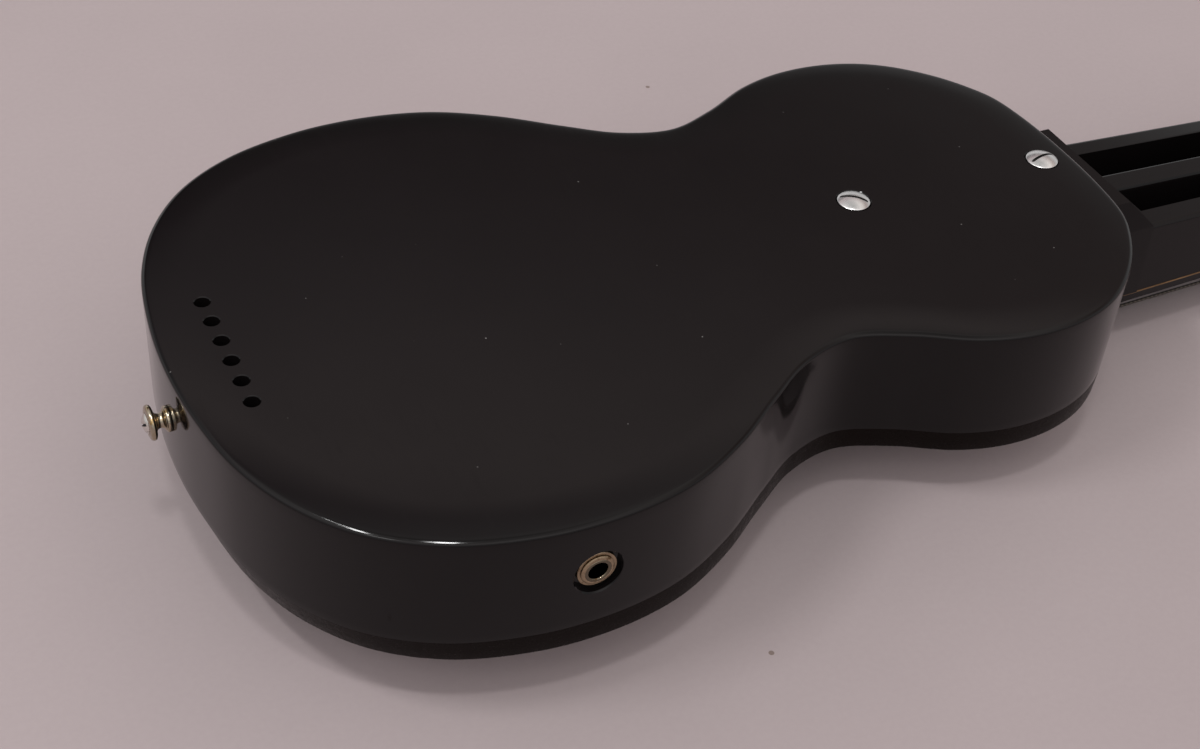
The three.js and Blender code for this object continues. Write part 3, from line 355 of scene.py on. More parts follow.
def plain_finish(name, colour, rough=(0.4, 0.6), scale=300.0, depth=0.05, sheen=0.0, spread=0.25):
    """A dull surface with mottled colour and a fine tooth, such as plastic, fibre or paper."""
    material, tree, shader = new_finish(name, ior=1.48, sheen_weight=sheen)
    mottle = grain(tree, scale, 4.0, 0.6)
    base = blend_colours(tree, mottle, [c * (1 - spread) for c in colour],
                         [min(1, c * (1 + spread)) for c in colour])
    surface(tree, shader, base, bump(tree, mottle, 0.3, depth * MM), remap(tree, mottle, 0.3, 0.7, *rough))
    return material


def wound_finish(name, colour, pitch, axis, metallic=1.0, rough=0.32):
    """Wire laid in close turns, shown as rounded ridges across one axis, with painted shade between the
    turns.
    """
    material, tree, shader = new_finish(name, metallic=metallic, roughness=rough)
    turns = shader_node(tree, "ShaderNodeTexWave", {"Scale": 1.0 / (pitch * 20), "Distortion": 0.4},
                        wave_type="BANDS", bands_direction=axis, wave_profile="SIN")
    wire(tree, places(tree), turns.inputs["Vector"])
    ridge = turns.outputs["Fac"]
    # The troughs between the turns are coloured darker: painted shade.
    base = blend_colours(tree, ridge, [c * 0.45 for c in colour], colour)
    surface(tree, shader, base, bump(tree, ridge, 0.6, 0.08 * MM))
    return material


def make_finishes():
    """Every finish of the guitar, by name."""
    paint = colours()
    brown = (0.11, 0.06, 0.025)
    return {
        "moulding": moulding_finish("black_moulding"),
        "neck_moulding": moulding_finish("black_neck_moulding", neck=True),
        "lip": lip_finish("brown_lip"),
        "nickel": metal_finish("nickel_plate", paint.nickel, (0.14, 0.26), (0.30, 0.25, 0.20), 0.15),
        "screw_nickel": metal_finish("bright_nickel", (0.80, 0.79, 0.78), (0.22, 0.34)),
        # The inside of the screw slots is coloured near black: painted shade.
        "slot_grime": plain_finish("slot_grime", (0.006, 0.005, 0.004), (0.6, 0.8), 900.0, 0.02),
        "worn_nickel": metal_finish("worn_nickel", (0.44, 0.38, 0.29), (0.08, 0.20), paint.aged_brass, 0.6),
        # The sleeve's nickel is coloured far darker than plating so that it mirrors dark: painted shade; its
        # brown spots are tarnish.
        "sleeve_nickel": metal_finish("sleeve_nickel", (0.17, 0.14, 0.10), (0.05, 0.11), brown, 0.2),
        "tan_nickel": metal_finish("tan_nickel", (0.40, 0.30, 0.20), (0.30, 0.44), brown, 0.2),
        "aged_brass": metal_finish("aged_brass", paint.aged_brass, (0.18, 0.36), brown, 0.4),
        "string_steel": metal_finish("string_steel", (0.40, 0.40, 0.40), (0.18, 0.3)),
        # The wound strings are coloured dark so that they merge with the shade under the neck: painted shade.
        "wound_string": wound_finish("wound_string", (0.12, 0.105, 0.09), 0.35 * MM, "X"),
        "plate_steel": metal_finish("plate_steel", (0.42, 0.43, 0.44), (0.3, 0.5), brown, 0.15),
        "plating": metal_finish("bright_plating", paint.chrome, (0.05, 0.14), (0.35, 0.33, 0.30), 0.0, 0.04),
        "winding": wound_finish("coil_winding", (0.45, 0.17, 0.07), 0.3 * MM, "Z", 0.6, 0.35),
        "knob_plastic": plain_finish("knob_plastic", (0.012, 0.012, 0.012), (0.25, 0.4), 200.0, 0.02),
        "fibre": plain_finish("pressed_fibre", (0.11, 0.042, 0.019), (0.5, 0.7), 500.0, 0.06),
        "waxed_paper": plain_finish("waxed_paper", (0.27, 0.15, 0.05), (0.35, 0.55), 260.0, 0.05),
        "wire_cloth": plain_finish("wire_cloth", (0.07, 0.05, 0.028), (0.7, 0.9), 1400.0, 0.15, 0.4, 0.5),
    }


# Mesh helpers

def shade_smooth(mesh, sharp):
    """Smooths a mesh's faces between edges that bend more than this, in degrees."""
    mesh.polygons.foreach_set("use_smooth", [True] * len(mesh.polygons))
    mesh.set_sharp_from_angle(angle=math.radians(sharp))


def put(piece_name, mesh, finish, body=BODY, replaced=(), sharp=32.0, second=None):
    """Links a mesh as a piece of the guitar, with its finishes, body and the nodes it stands for."""
    mesh.name = piece_name
    shade_smooth(mesh, sharp)
    for laid in (finish, second):
        if laid:
            mesh.materials.append(FINISHES[laid])
    piece = bpy.data.objects.new(piece_name, mesh)
    bpy.context.scene.collection.objects.link(piece)
    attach(piece, body)
    if replaced:
        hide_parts(*replaced)


def mesh_of(bm, name="draft"):
    """The finished mesh of a bmesh, faced outward."""
    bmesh.ops.recalc_face_normals(bm, faces=bm.faces)
    mesh = bpy.data.meshes.new(name)
    bm.to_mesh(mesh)
    bm.free()
    return mesh


def lathe(bm, profile, axis, origin, sides=64):
    """Turns (radius, height) points, in metres, round an axis through origin; ends close on the axis."""
    along = Vector(axis).normalized()
    turn = along.to_track_quat("Z", "Y").to_matrix()
    rings = []
    for radius, height in profile:
        if radius < 1e-7:
            rings.append([bm.verts.new(Vector(origin) + turn @ Vector((0, 0, height)))])
        else:
            angles = [2 * math.pi * i / sides for i in range(sides)]
            rings.append([bm.verts.new(Vector(origin) + turn @ Vector((
                radius * math.cos(angle), radius * math.sin(angle), height))) for angle in angles])
    for low, high in zip(rings, rings[1:]):
        for i in range(sides):
            j = (i + 1) % sides
            if len(low) == 1:
                bm.faces.new((low[0], high[j], high[i]))
            elif len(high) == 1:
                bm.faces.new((low[i], low[j], high[0]))
            else:
                bm.faces.new((low[i], low[j], high[j], high[i]))


def ring_lathe(bm, profile, axis, origin, sides=64):
    """As lathe, for a profile that closes on itself, such as a washer."""
    lathe(bm, list(profile) + [profile[0]], axis, origin, sides)
    bmesh.ops.remove_doubles(bm, verts=bm.verts, dist=1e-7)


def block(bm, low, high):
    """A block between two corners."""
    middle, size = (low + high) / 2, high - low
    place = Matrix.Translation(middle) @ Matrix.Diagonal((*size, 1))
    bmesh.ops.create_cube(bm, size=1.0, matrix=place)


def loose(mesh):
    """A mesh on a passing object that can hold a modifier."""
    holder = bpy.data.objects.new("draft", mesh)
    bpy.context.scene.collection.objects.link(holder)
    return holder


def applied(holder):
    """The mesh of an object after its modifiers."""
    depsgraph = bpy.context.evaluated_depsgraph_get()
    depsgraph.update()
    return bpy.data.meshes.new_from_object(holder.evaluated_get(depsgraph))


def cut_away(first, second):
    """The solid left when second is cut from first; both are meshes and are used up."""
    one, two = loose(first), loose(second)
    cut = one.modifiers.new("cut", "BOOLEAN")
    cut.operation = "DIFFERENCE"
    cut.solver = "EXACT"
    cut.object = two
    result = applied(one)
    for holder, mesh in ((one, first), (two, second)):
        bpy.data.objects.remove(holder)
        bpy.data.meshes.remove(mesh)
    return result


def node_mesh(node):
    """A welded copy of a node's mesh, with its flat faces made whole."""
    bm = bmesh.new()
    bm.from_mesh(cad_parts[node].data)
    bmesh.ops.remove_doubles(bm, verts=bm.verts, dist=2e-6)
    bmesh.ops.dissolve_limit(bm, angle_limit=math.radians(0.6), verts=bm.verts, edges=bm.edges)
    mesh = mesh_of(bm, node)
    for layer in [a.name for a in mesh.attributes if a.name == "custom_normal"]:
        mesh.attributes.remove(mesh.attributes[layer])
    return mesh


def softened(mesh, width, segments=3, angle=30.0, chosen=False):
    """The mesh with its sharp corners rounded, or only the edges chosen by weight."""
    holder = loose(mesh)
    soft = holder.modifiers.new("soften", "BEVEL")
    soft.width = width
    soft.segments = segments
    soft.limit_method = "WEIGHT" if chosen else "ANGLE"
    soft.angle_limit = math.radians(angle)
    soft.use_clamp_overlap = not chosen
    result = applied(holder)
    bpy.data.objects.remove(holder)
    return result


def dressed(node, finish, body=BODY, width=0.0, sharp=32.0):
    """A node's own shape with softened corners and a smooth surface, standing for the node."""
    mesh = node_mesh(node)
    if width > 0:
        mesh = softened(mesh, width)
    put(node + "_dressed", mesh, finish, body, (node,), sharp)


def flattened(mesh):
    """The mesh with its broad faces shaded flat between rounded edges."""
    holder = loose(mesh)
    even = holder.modifiers.new("even", "WEIGHTED_NORMAL")
    even.keep_sharp = True
    even.weight = 100
    result = applied(holder)
    bpy.data.objects.remove(holder)
    return result


def repaint(node, finish):
    """Gives a node that stays as it is its finish."""
    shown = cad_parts[node]
    shown.data.materials.clear()
    shown.data.materials.append(FINISHES[finish])


# Body and neck

def outline_points(count):
    """Even points on the body's closed outline and the outward normals there, in metres."""
    half_width = (BODY_HIGH.y - BODY_LOW.y) / 2
    length = BODY_HIGH.x - BODY_LOW.x
    half = [(along * length, across * half_width) for along, across in OUTLINE_SHARES]
    knots = np.array([(x, -y) for x, y in half] + [(x, y) for x, y in half[-2:0:-1]])
    total = len(knots)
    dense = []
    for k in range(total):
        p = [knots[(k + step) % total] for step in (-1, 0, 1, 2)]
        gaps = [float(np.sum((p[i + 1] - p[i]) ** 2)) ** 0.25 for i in range(3)]
        start, end = [((p[i] - p[i - 1]) / gaps[i - 1] - (p[i + 1] - p[i - 1]) / (gaps[i - 1] + gaps[i])
                       + (p[i + 1] - p[i]) / gaps[i]) * gaps[1] for i in (1, 2)]
        for t in np.arange(0, 1, 1 / 60):
            dense.append(p[1] + start * t + (3 * (p[2] - p[1]) - 2 * start - end) * t * t
                         + (2 * (p[1] - p[2]) + start + end) * t ** 3)
    dense = np.array(dense)
    closed = np.vstack([dense, dense[:1]])
    run = np.concatenate([[0], np.cumsum(np.linalg.norm(np.diff(closed, axis=0), axis=1))])
    at = np.linspace(0, run[-1], count, endpoint=False)
    points = np.column_stack([np.interp(at, run, closed[:, axis]) for axis in (0, 1)])
    tangent = np.roll(points, -1, 0) - np.roll(points, 1, 0)
    tangent /= np.linalg.norm(tangent, axis=1)[:, None]
    return points, np.column_stack([tangent[:, 1], -tangent[:, 0]])


def outline_solid(levels, count):
    """A closed solid through outlines at (inset, height from the back, lean), from the face up."""
    points, outward = outline_points(count)
    bm = bmesh.new()
    rings = []
    for inset, height, lean in levels:
        ring = points - outward * inset
        rings.append([bm.verts.new((TAIL_X + x + lean, y, BACK_Z + height)) for x, y in ring])
    for low, high in zip(rings, rings[1:]):
        for i in range(count):
            j = (i + 1) % count
            bm.faces.new((low[i], low[j], high[j], high[i]))
    bm.faces.new(list(reversed(rings[0])))
    bm.faces.new(rings[-1])
    return mesh_of(bm)


def body_levels():
    """The body's section: face edge, tapered lip, seam line, wall, rolled edge and falling crown."""
    size = sizes()
    depth = BODY_HIGH.z - BODY_LOW.z
    face, lip, edge = -depth, -depth + size.lip_depth, size.face_round

    def lip_share(height):
        return (lip - height) / size.lip_depth

    levels = []
    for angle in (90, 75, 60, 45, 30, 15, 0):
        turn = math.radians(angle)
        height = face + edge * (1 - math.sin(turn))
        levels.append((size.lip_taper * lip_share(height) + edge * (1 - math.cos(turn)), height,
                       size.lip_lean * lip_share(height)))
    for share in (0.5, 0.06):
        height = lip - size.lip_depth * share
        levels.append((size.lip_taper * share, height, size.lip_lean * share))
    levels += [(size.seam_depth, lip - 0.15 * MM, 0), (size.seam_depth, lip + 0.1 * MM, 0),
               (0, lip + 0.5 * MM, 0), (0, lip + 3 * MM, 0), (0, -14 * MM, 0), (0, -6 * MM, 0)]
    slope = math.atan(2 * size.crown_fall / (size.crown_width - size.edge_roll))
    roll = size.edge_roll
    flat_turn = math.radians(FLAT_ANGLE)
    run, rise = size.edge_flat * math.sin(flat_turn), size.edge_flat * math.cos(flat_turn)
    turns = [(math.pi / 2 - slope) * step / 8 for step in range(9)]
    steps = [(turn, 0.0) for turn in turns if turn < flat_turn]
    steps += [(flat_turn, share) for share in (0.0, 0.15, 0.85, 1.0)]
    steps += [(turn, 1.0) for turn in turns if turn > flat_turn]
    for turn, share in steps:
        levels.append((roll * (1 - math.cos(turn)) + run * share,
                       -size.crown_fall - roll * (1 - math.sin(turn)) - rise * (1 - share), 0))
    inset, base, _ = levels[-1]
    reach = size.crown_width - inset
    for step in range(1, 13):
        share = step / 12
        levels.append((inset + reach * share, base - base * (1 - (1 - share) ** 2), 0))
    return levels


def string_places():
    """The six string holes at the back's flat."""
    return [local(STRING_ROW, (i - 2.5) * STRING_SPACING, 0) for i in range(6)]


def jack_point():
    """The point of the jack's axis at the side wall, in metres."""
    low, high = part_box("jack_washer")
    return Vector(((low.x + high.x) / 2, BODY_LOW.y, (low.z + high.z) / 2))


def body_cutters():
    """The string holes, the screw seats, the jack's recess and the strap button's hole."""
    bm = bmesh.new()
    string_hole = in_mm((0, 1), (2.96, 1), (2.96, 0.04), (2.66, -0.32), (2.66, -41.3), (0, -41.3))
    for place in string_places():
        lathe(bm, string_hole, (0, 0, 1), place, 48)
    screw_seat = in_mm((0, 1), (6.75, 1), (6.75, 0.02), (6.42, -0.3), (2.95, -4.0), (2.95, -5.6), (0, -5.6))
    for x, y, _ in NECK_SCREWS:
        lathe(bm, screw_seat, (0, 0, 1), local(x, y, 0), 64)
    recess = in_mm((0, 3), (9, 3), (9, 0.05), (8.42, -0.5), (8.42, -2.61), (4.75, -2.61), (4.75, -7), (0, -7))
    lathe(bm, recess, (0, -1, 0), jack_point(), 96)
    button_hole = in_mm((0, 2), (1.82, 2), (1.82, -6), (0, -6))
    lathe(bm, button_hole, (-1, 0, 0), local(0, 0, STRAP_LEVEL), 32)
    return mesh_of(bm)


def build_body():
    """The outside of the body round the frame's own hollows; the lip has its own finish."""
    inset, past_face, under_back, lean, lift = (mm * MM for mm in (2.6, -57, -5, 1.2, 0.04))
    inner = outline_solid([(inset, past_face, lean), (inset, under_back, 0)], 128)
    hollows = cut_away(inner, node_mesh("body_shell"))
    hollows.transform(Matrix.Translation((0, 0, lift)))
    outside = outline_solid(body_levels(), sizes().outline_steps)
    whole = cut_away(cut_away(outside, hollows), body_cutters())
    whole.materials.clear()
    lip = BODY_LOW.z + sizes().lip_depth
    for face in whole.polygons:
        face.material_index = 1 if face.center.z < lip - 0.1 * MM else 0
    put("body_moulding", whole, "moulding", BODY, ("body_shell",), 35.0, "lip")


class GUITAR_OT_body(Operator):
    """Build the hollow body with its rolled edge, seam line and holes"""
    bl_idname = "guitar.body"
    bl_label = "Body"

    def execute(self, context):
        build_body()
        return {"FINISHED"}


def weigh_rails(mesh):
    """Marks the long edges of the neck's rails, the square ones fully and the slanted ones by about half."""
    mesh.attributes.new("bevel_weight_edge", "FLOAT", "EDGE")
    bm = bmesh.new()
    bm.from_mesh(mesh)
    layer = bm.edges.layers.float["bevel_weight_edge"]
    rail_floor, least_length = BACK_Z - 40 * MM, 60 * MM
    slanted, square = math.radians(35), math.radians(80)
    for edge in bm.edges:
        long = abs(edge.verts[0].co.x - edge.verts[1].co.x) > least_length
        bend = edge.calc_face_angle() if len(edge.link_faces) == 2 else 0.0
        high = min(v.co.z for v in edge.verts) > rail_floor
        if long and high and bend > slanted:
            edge[layer] = 1.0 if bend > square else 0.45
    bm.to_mesh(mesh)
    bm.free()
    return mesh


class GUITAR_OT_neck(Operator):
    """Build the neck with softened rails and grooves"""
    bl_idname = "guitar.neck"
    bl_label = "Neck"

    def execute(self, context):
        mesh = softened(weigh_rails(node_mesh("neck")), sizes().rail_round, 4, chosen=True)
        mesh = softened(mesh, sizes().corner_break, angle=35.0)
        shade_smooth(mesh, 40.0)
        put("neck_dressed", flattened(mesh), "neck_moulding", BODY, ("neck",), 40.0)
        return {"FINISHED"}


# Screws, strap button and jack

def slotted_screw(name, node, head, dome, sink, shank, length, origin, axis, turn, slot_width, slot_depth,
                  finish):
    """An oval-headed screw with a slot whose ends run out through the head's edge."""
    bm = bmesh.new()
    radius = head / 2
    bulge = (radius ** 2 + dome ** 2) / (2 * dome)
    top = [(bulge * math.sin(a), dome - bulge * (1 - math.cos(a)))
           for a in np.linspace(0, math.asin(min(1.0, radius / bulge)), 14)]
    profile = [(0, -length), (shank * 0.25, -length), (shank / 2, -length + shank), (shank / 2, -sink),
               (radius - 0.05 * MM, -0.12 * MM)] + top[::-1]
    lathe(bm, profile, (0, 0, 1), (0, 0, 0), 72)
    body = mesh_of(bm)
    bm = bmesh.new()
    slot_floor, slot_side, near = dome - slot_depth, slot_width / 2, 0.1 * MM
    block(bm, Vector((-head, -slot_side, slot_floor)), Vector((head, slot_side, dome + 2 * MM)))
    whole = cut_away(body, mesh_of(bm))
    whole = softened(whole, 0.08 * MM, 2, 40.0)
    whole.materials.clear()
    # Faces inside the slot take the near-black second finish: painted shade.
    for face in whole.polygons:
        within = abs(face.center.y) < slot_side + 0.02 * MM and face.center.z > slot_floor - near
        inward = abs(face.normal.y) > 0.8 or face.center.z < slot_floor + near
        face.material_index = 1 if within and inward else 0
    up = Vector(axis).to_track_quat("Z", "Y").to_matrix().to_4x4()
    whole.transform(Matrix.Translation(origin) @ up @ Matrix.Rotation(turn, 4, "Z"))
    put(name, whole, finish, BODY, (node,), 40.0, "slot_grime")


class GUITAR_OT_screws(Operator):
    """Build the two slotted screws that hold the neck"""
    bl_idname = "guitar.screws"
    bl_label = "Neck screws"

    def execute(self, context):
        for i, (x, y, turn) in enumerate(NECK_SCREWS):
            node = f"neck_screw_{i + 1}"
            slotted_screw(node + "_fine", node, head=12.2 * MM, dome=1.8 * MM, sink=4 * MM, shank=5.2 * MM,
                          length=42 * MM, origin=local(x, y, 0), axis=(0, 0, 1), turn=turn,
                          slot_width=1.2 * MM, slot_depth=1.1 * MM, finish="screw_nickel")
        return {"FINISHED"}


class GUITAR_OT_strap_button(Operator):
    """Build the strap button at the tail and its screw"""
    bl_idname = "guitar.strap_button"
    bl_label = "Strap button"

    def execute(self, context):
        low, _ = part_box("strap_button")
        wall = TAIL_X - 0.1 * MM
        length = wall - low.x
        bm = bmesh.new()
        profile = in_mm(
            (1.8, 0), (4.42, 0), (4.45, 0.05), (4.45, 1.05), (4.34, 1.25), (4.0, 1.4), (3.8, 1.45),
            (3.76, 1.58), (3.3, 1.8), (2.8, 2.15), (2.5, 2.8), (2.5, 3.5), (2.7, 4.1), (3.3, 4.6), (4.3, 4.9),
            (5.3, 5.1), (5.85, 5.4), (6.08, 5.9), (6.05, 6.4), (5.75, 6.85), (5.2, 7.15))
        profile += [(3.95 * MM, length), (3.85 * MM, length - 0.05 * MM), (1.8 * MM, length - 2.2 * MM)]
        level = BACK_Z + STRAP_LEVEL * MM
        ring_lathe(bm, profile, (-1, 0, 0), (wall, 0, level), 72)
        put("strap_button_fine", mesh_of(bm), "worn_nickel", BODY, ("strap_button",), 50.0)
        slotted_screw("strap_button_screw_fine", "strap_button_screw", head=7.2 * MM, dome=1.55 * MM,
                      sink=2.1 * MM, shank=3 * MM, length=26 * MM, origin=Vector((wall - length, 0, level)),
                      axis=(-1, 0, 0), turn=0.6, slot_width=0.9 * MM, slot_depth=0.9 * MM, finish="nickel")
        return {"FINISHED"}


class GUITAR_OT_jack(Operator):
    """Build the jack's sleeve, washer and ring nut, and dress its inner parts"""
    bl_idname = "guitar.jack"
    bl_label = "Jack"

    def execute(self, context):
        low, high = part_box("jack_barrel")
        mouth = (low.y - BODY_LOW.y) / MM
        bm = bmesh.new()
        origin = jack_point()
        sleeve = [(3.25, -(JACK_FLANGE + 2)), (8, -(JACK_FLANGE + 2)), (8, -JACK_FLANGE),
                  (4.4, -JACK_FLANGE), (4.4, -1.45), (4.6, -1.35)]
        for step in range(13):
            turn = math.pi * step / 12
            sleeve.append((3.94 + 0.68 * math.cos(turn), -mouth - 0.7 + 0.68 * math.sin(turn)))
        ring_lathe(bm, in_mm(*sleeve), (0, -1, 0), origin, 72)
        arm_low = Vector((origin.x - 3 * MM, origin.y + (JACK_FLANGE + 1.6) * MM, high.z - 1.2 * MM))
        block(bm, arm_low, Vector((origin.x + 3 * MM, high.y, high.z - 0.02 * MM)))
        put("jack_barrel_fine", mesh_of(bm), "sleeve_nickel", BODY, ("jack_barrel",), 40.0)
        washer = in_mm((4.75, -2.5), (6.72, -2.5), (6.8, -2.4), (6.8, -1.85), (6.65, -1.7), (4.75, -1.68))
        nut = in_mm((4.48, -1.6), (5.6, -1.6), (5.7, -1.5), (5.68, -1.2), (5.35, -0.9), (4.9, -0.82),
                    (4.48, -0.82))
        for node, profile, slot_name in (("jack_washer", washer, "aged_brass"), ("jack_nut", nut, "nickel")):
            bm = bmesh.new()
            ring_lathe(bm, profile, (0, -1, 0), origin, 72)
            put(node + "_fine", mesh_of(bm), "tan_nickel", BODY, (node,), 40.0)
        dressed("jack_contact", "aged_brass", "contact_spring", 0.1 * MM)
        repaint("jack_insulator", "fibre")
        return {"FINISHED"}


# Bridge, nut and strings

class GUITAR_OT_strings(Operator):
    """Dress the strings, the bridge and the nut"""
    bl_idname = "guitar.strings"
    bl_label = "Strings, bridge and nut"

    def execute(self, context):
        for number in range(1, 7):
            finish = "wound_string" if number >= 4 else "string_steel"
            dressed(f"string_{number}", finish, sharp=70.0)
        dressed("bridge", "nickel", width=0.35 * MM)
        dressed("nut", "nickel", width=0.25 * MM)
        return {"FINISHED"}


# Pickup

class GUITAR_OT_pickup(Operator):
    """Dress the two bent magnets and the parts of the pickup between them"""
    bl_idname = "guitar.pickup"
    bl_label = "Pickup"

    def execute(self, context):
        for side in ("bass", "treble"):
            dressed(f"magnet_{side}", "plating", width=0.6 * MM, sharp=25.0)
        dressed("coil_bobbin", "knob_plastic", width=0.2 * MM)
        dressed("pole_plate", "plate_steel", width=0.25 * MM)
        for number in (1, 2):
            dressed(f"pickup_screw_{number}", "nickel")
        repaint("coil_winding", "winding")
        return {"FINISHED"}


# Cover plates

def small_screws(places_under, head, dome, depth):
    """Little round-headed screws, heads downward, in one mesh."""
    profile = [(0, -depth), (head * 0.3, -depth), (head * 0.3, 0), (head * 0.5, 0),
               (head * 0.48, dome * 0.35), (head * 0.36, dome * 0.75), (head * 0.18, dome * 0.95), (0, dome)]
    bm = bmesh.new()
    for place in places_under:
        lathe(bm, profile, (0, 0, -1), place, 24)
    return mesh_of(bm)


class GUITAR_OT_covers(Operator):
    """Dress the four bright cover plates and put in their small screws"""
    bl_idname = "guitar.covers"
    bl_label = "Cover plates"

    def execute(self, context):
        for bout in ("lower", "upper"):
            for side, sign in (("bass", -1), ("treble", 1)):
                node = f"cover_{bout}_{side}"
                dressed(node, "plating", width=0.3 * MM, sharp=25.0)
                low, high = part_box(node)
                row = (high.y if sign < 0 else low.y) + sign * SMALL_SCREW_MARGIN * MM
                spots = [Vector((low.x + (high.x - low.x) * share, row, low.z - 0.02 * MM))
                         for share in SMALL_SCREW_SHARES]
                screws = small_screws(spots, head=4.0 * MM, dome=0.9 * MM, depth=0.6 * MM)
                put(f"{node}_screws", screws, "nickel", sharp=40.0)
        return {"FINISHED"}


# Controls

def fluted_knob(centre, top, bottom, radius, flutes=36):
    """A knob with fine flutes round its skirt and a dished, bevelled crown, crown downward."""
    bm = bmesh.new()
    sides = flutes * 6
    height = top - bottom
    # In millimetres: the knob's radius and height, the flutes' depth and what the bore leaves of the crown
    rim, tall, flute_depth, crown = radius / MM, height / MM, 0.45, 3.0
    profile = [(3.4, 0.0, 0), (rim - 0.5, 0.0, 0), (rim - 0.05, 0.4, 1), (rim - 0.05, tall * 0.62, 1),
               (rim - 0.9, tall * 0.66, 0), (rim - 1.6, tall - 0.9, 0), (rim - 2.6, tall - 0.1, 0),
               (rim - 3.4, tall, 0), (rim - 4.2, tall - 0.2, 0), (rim - 5.5, tall - 0.7, 0),
               (0, tall - 0.8, 0)]
    rings = []
    for r, h, fluted in profile:
        if r == 0:
            rings.append([bm.verts.new((centre.x, centre.y, top - h * MM))])
            continue
        ring = []
        for i in range(sides):
            angle = 2 * math.pi * i / sides
            reach = r - (flute_depth * (0.5 - 0.5 * math.cos(angle * flutes)) if fluted else 0)
            ring.append(bm.verts.new((centre.x + reach * MM * math.cos(angle),
                                      centre.y + reach * MM * math.sin(angle), top - h * MM)))
        rings.append(ring)
    bore_end = [bm.verts.new((v.co.x, v.co.y, v.co.z - (height - crown * MM))) for v in rings[0]]
    for low, high in list(zip(rings, rings[1:])) + [(bore_end, rings[0])]:
        for i in range(sides):
            j = (i + 1) % sides
            if len(high) == 1:
                bm.faces.new((low[i], low[j], high[0]))
            else:
                bm.faces.new((low[i], low[j], high[j], high[i]))
    bm.faces.new(bore_end)
    return mesh_of(bm)


class GUITAR_OT_controls(Operator):
    """Build the two knobs and dress the controls inside the body"""
    bl_idname = "guitar.controls"
    bl_label = "Controls"

    def execute(self, context):
        for name in ("tone", "volume"):
            low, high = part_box(f"{name}_knob")
            centre = (low + high) / 2
            put(f"{name}_knob_fine", fluted_knob(centre, high.z, low.z, (high.x - low.x) / 2),
                "knob_plastic", f"{name}_control", (f"{name}_knob",), 40.0)
            dressed(f"{name}_shaft", "aged_brass", f"{name}_control")
            dressed(f"{name}_pot", "plate_steel")
            dressed(f"{name}_pot_nut", "nickel", width=0.2 * MM)
        dressed("tone_capacitor", "waxed_paper", sharp=50.0)
        for lead in ("coil_lead", "control_lead", "jack_lead"):
            dressed(lead, "wire_cloth", sharp=75.0)
        return {"FINISHED"}


# Tuners

class GUITAR_OT_tuners(Operator):
    """Dress the tuner plates, posts and buttons"""
    bl_idname = "guitar.tuners"
    bl_label = "Tuners"

    def execute(self, context):
        for side in ("bass", "treble"):
            dressed(f"tuner_plate_{side}", "nickel", width=0.2 * MM)
            for row in (1, 2, 3):
                for part, body in (("post", "post"), ("button", "worm")):
                    spot = f"{side}_{row}"
                    dressed(f"tuner_{part}_{spot}", "nickel", f"{body}_{spot}", sharp=40.0)
        return {"FINISHED"}


# Stage

def floor_finish():
    """A pale table with a faint mottle, slow painted light across it, a fine tooth and a few specks of dust.
    """
    material, tree, shader = new_finish("pale_table", roughness=0.62, ior=1.4)
    base_colour = colours().floor
    mottle = grain(tree, 5.0, 5.0, 0.55)
    base = blend_colours(tree, remap(tree, mottle, 0.3, 0.7, 0.0, 1.0),
                         [c * 0.965 for c in base_colour], [min(1, c * 1.03) for c in base_colour])
    tooth = grain(tree, 420.0, 3.0, 0.6)
    base = blend_colours(tree, remap(tree, tooth, 0.35, 0.65, 0.0, 0.06), base, (0.25, 0.20, 0.20))
    # The colour brightens slowly towards the neck end and the far side: painted light.
    spot = split(tree, places(tree))
    painted_light_drift = arithmetic(tree, "ADD", arithmetic(tree, "MULTIPLY", spot[0], 0.17),
                       arithmetic(tree, "MULTIPLY", spot[1], 0.24))
    base = scaled_colour(tree, base, remap(tree, painted_light_drift, -0.16, 0.16, 0.87, 1.13))
    speck, _ = specks(tree, 9.0, 0.009, 1, 0.66)
    base = blend_colours(tree, arithmetic(tree, "MULTIPLY", speck, 0.7), base, (0.13, 0.085, 0.06))
    surface(tree, shader, base, bump(tree, tooth, 0.12, 0.06 * MM))
    return material


def lamp(name, place, size, power):
    """A flat lamp turned towards the middle of the body."""
    light = bpy.data.lights.new(name, "AREA")
    light.shape = "RECTANGLE"
    light.size, light.size_y = size
    light.energy = power
    holder = bpy.data.objects.new(name, light)
    bpy.context.scene.collection.objects.link(holder)
    holder.location = place
    aim = Vector(LAMP_TARGET) - Vector(place)
    holder.rotation_euler = aim.to_track_quat("-Z", "Y").to_euler()


# Metres in the frame: the table's radius, the point that the lamps face, and each lamp's place and size
TABLE_RADIUS = 12.0
LAMP_TARGET = (-0.15, 0.0, 0.04)
LAMPS = {
    "key": ((-0.715, -0.060, 0.911), (0.26, 0.045)),
    "side": ((-0.90, -0.50, 0.90), (0.20, 0.20)),
    "top": ((-0.53, -0.48, 1.50), (0.16, 0.16)),
    "near": ((-0.49, -0.50, 1.47), (0.14, 0.07)),
}

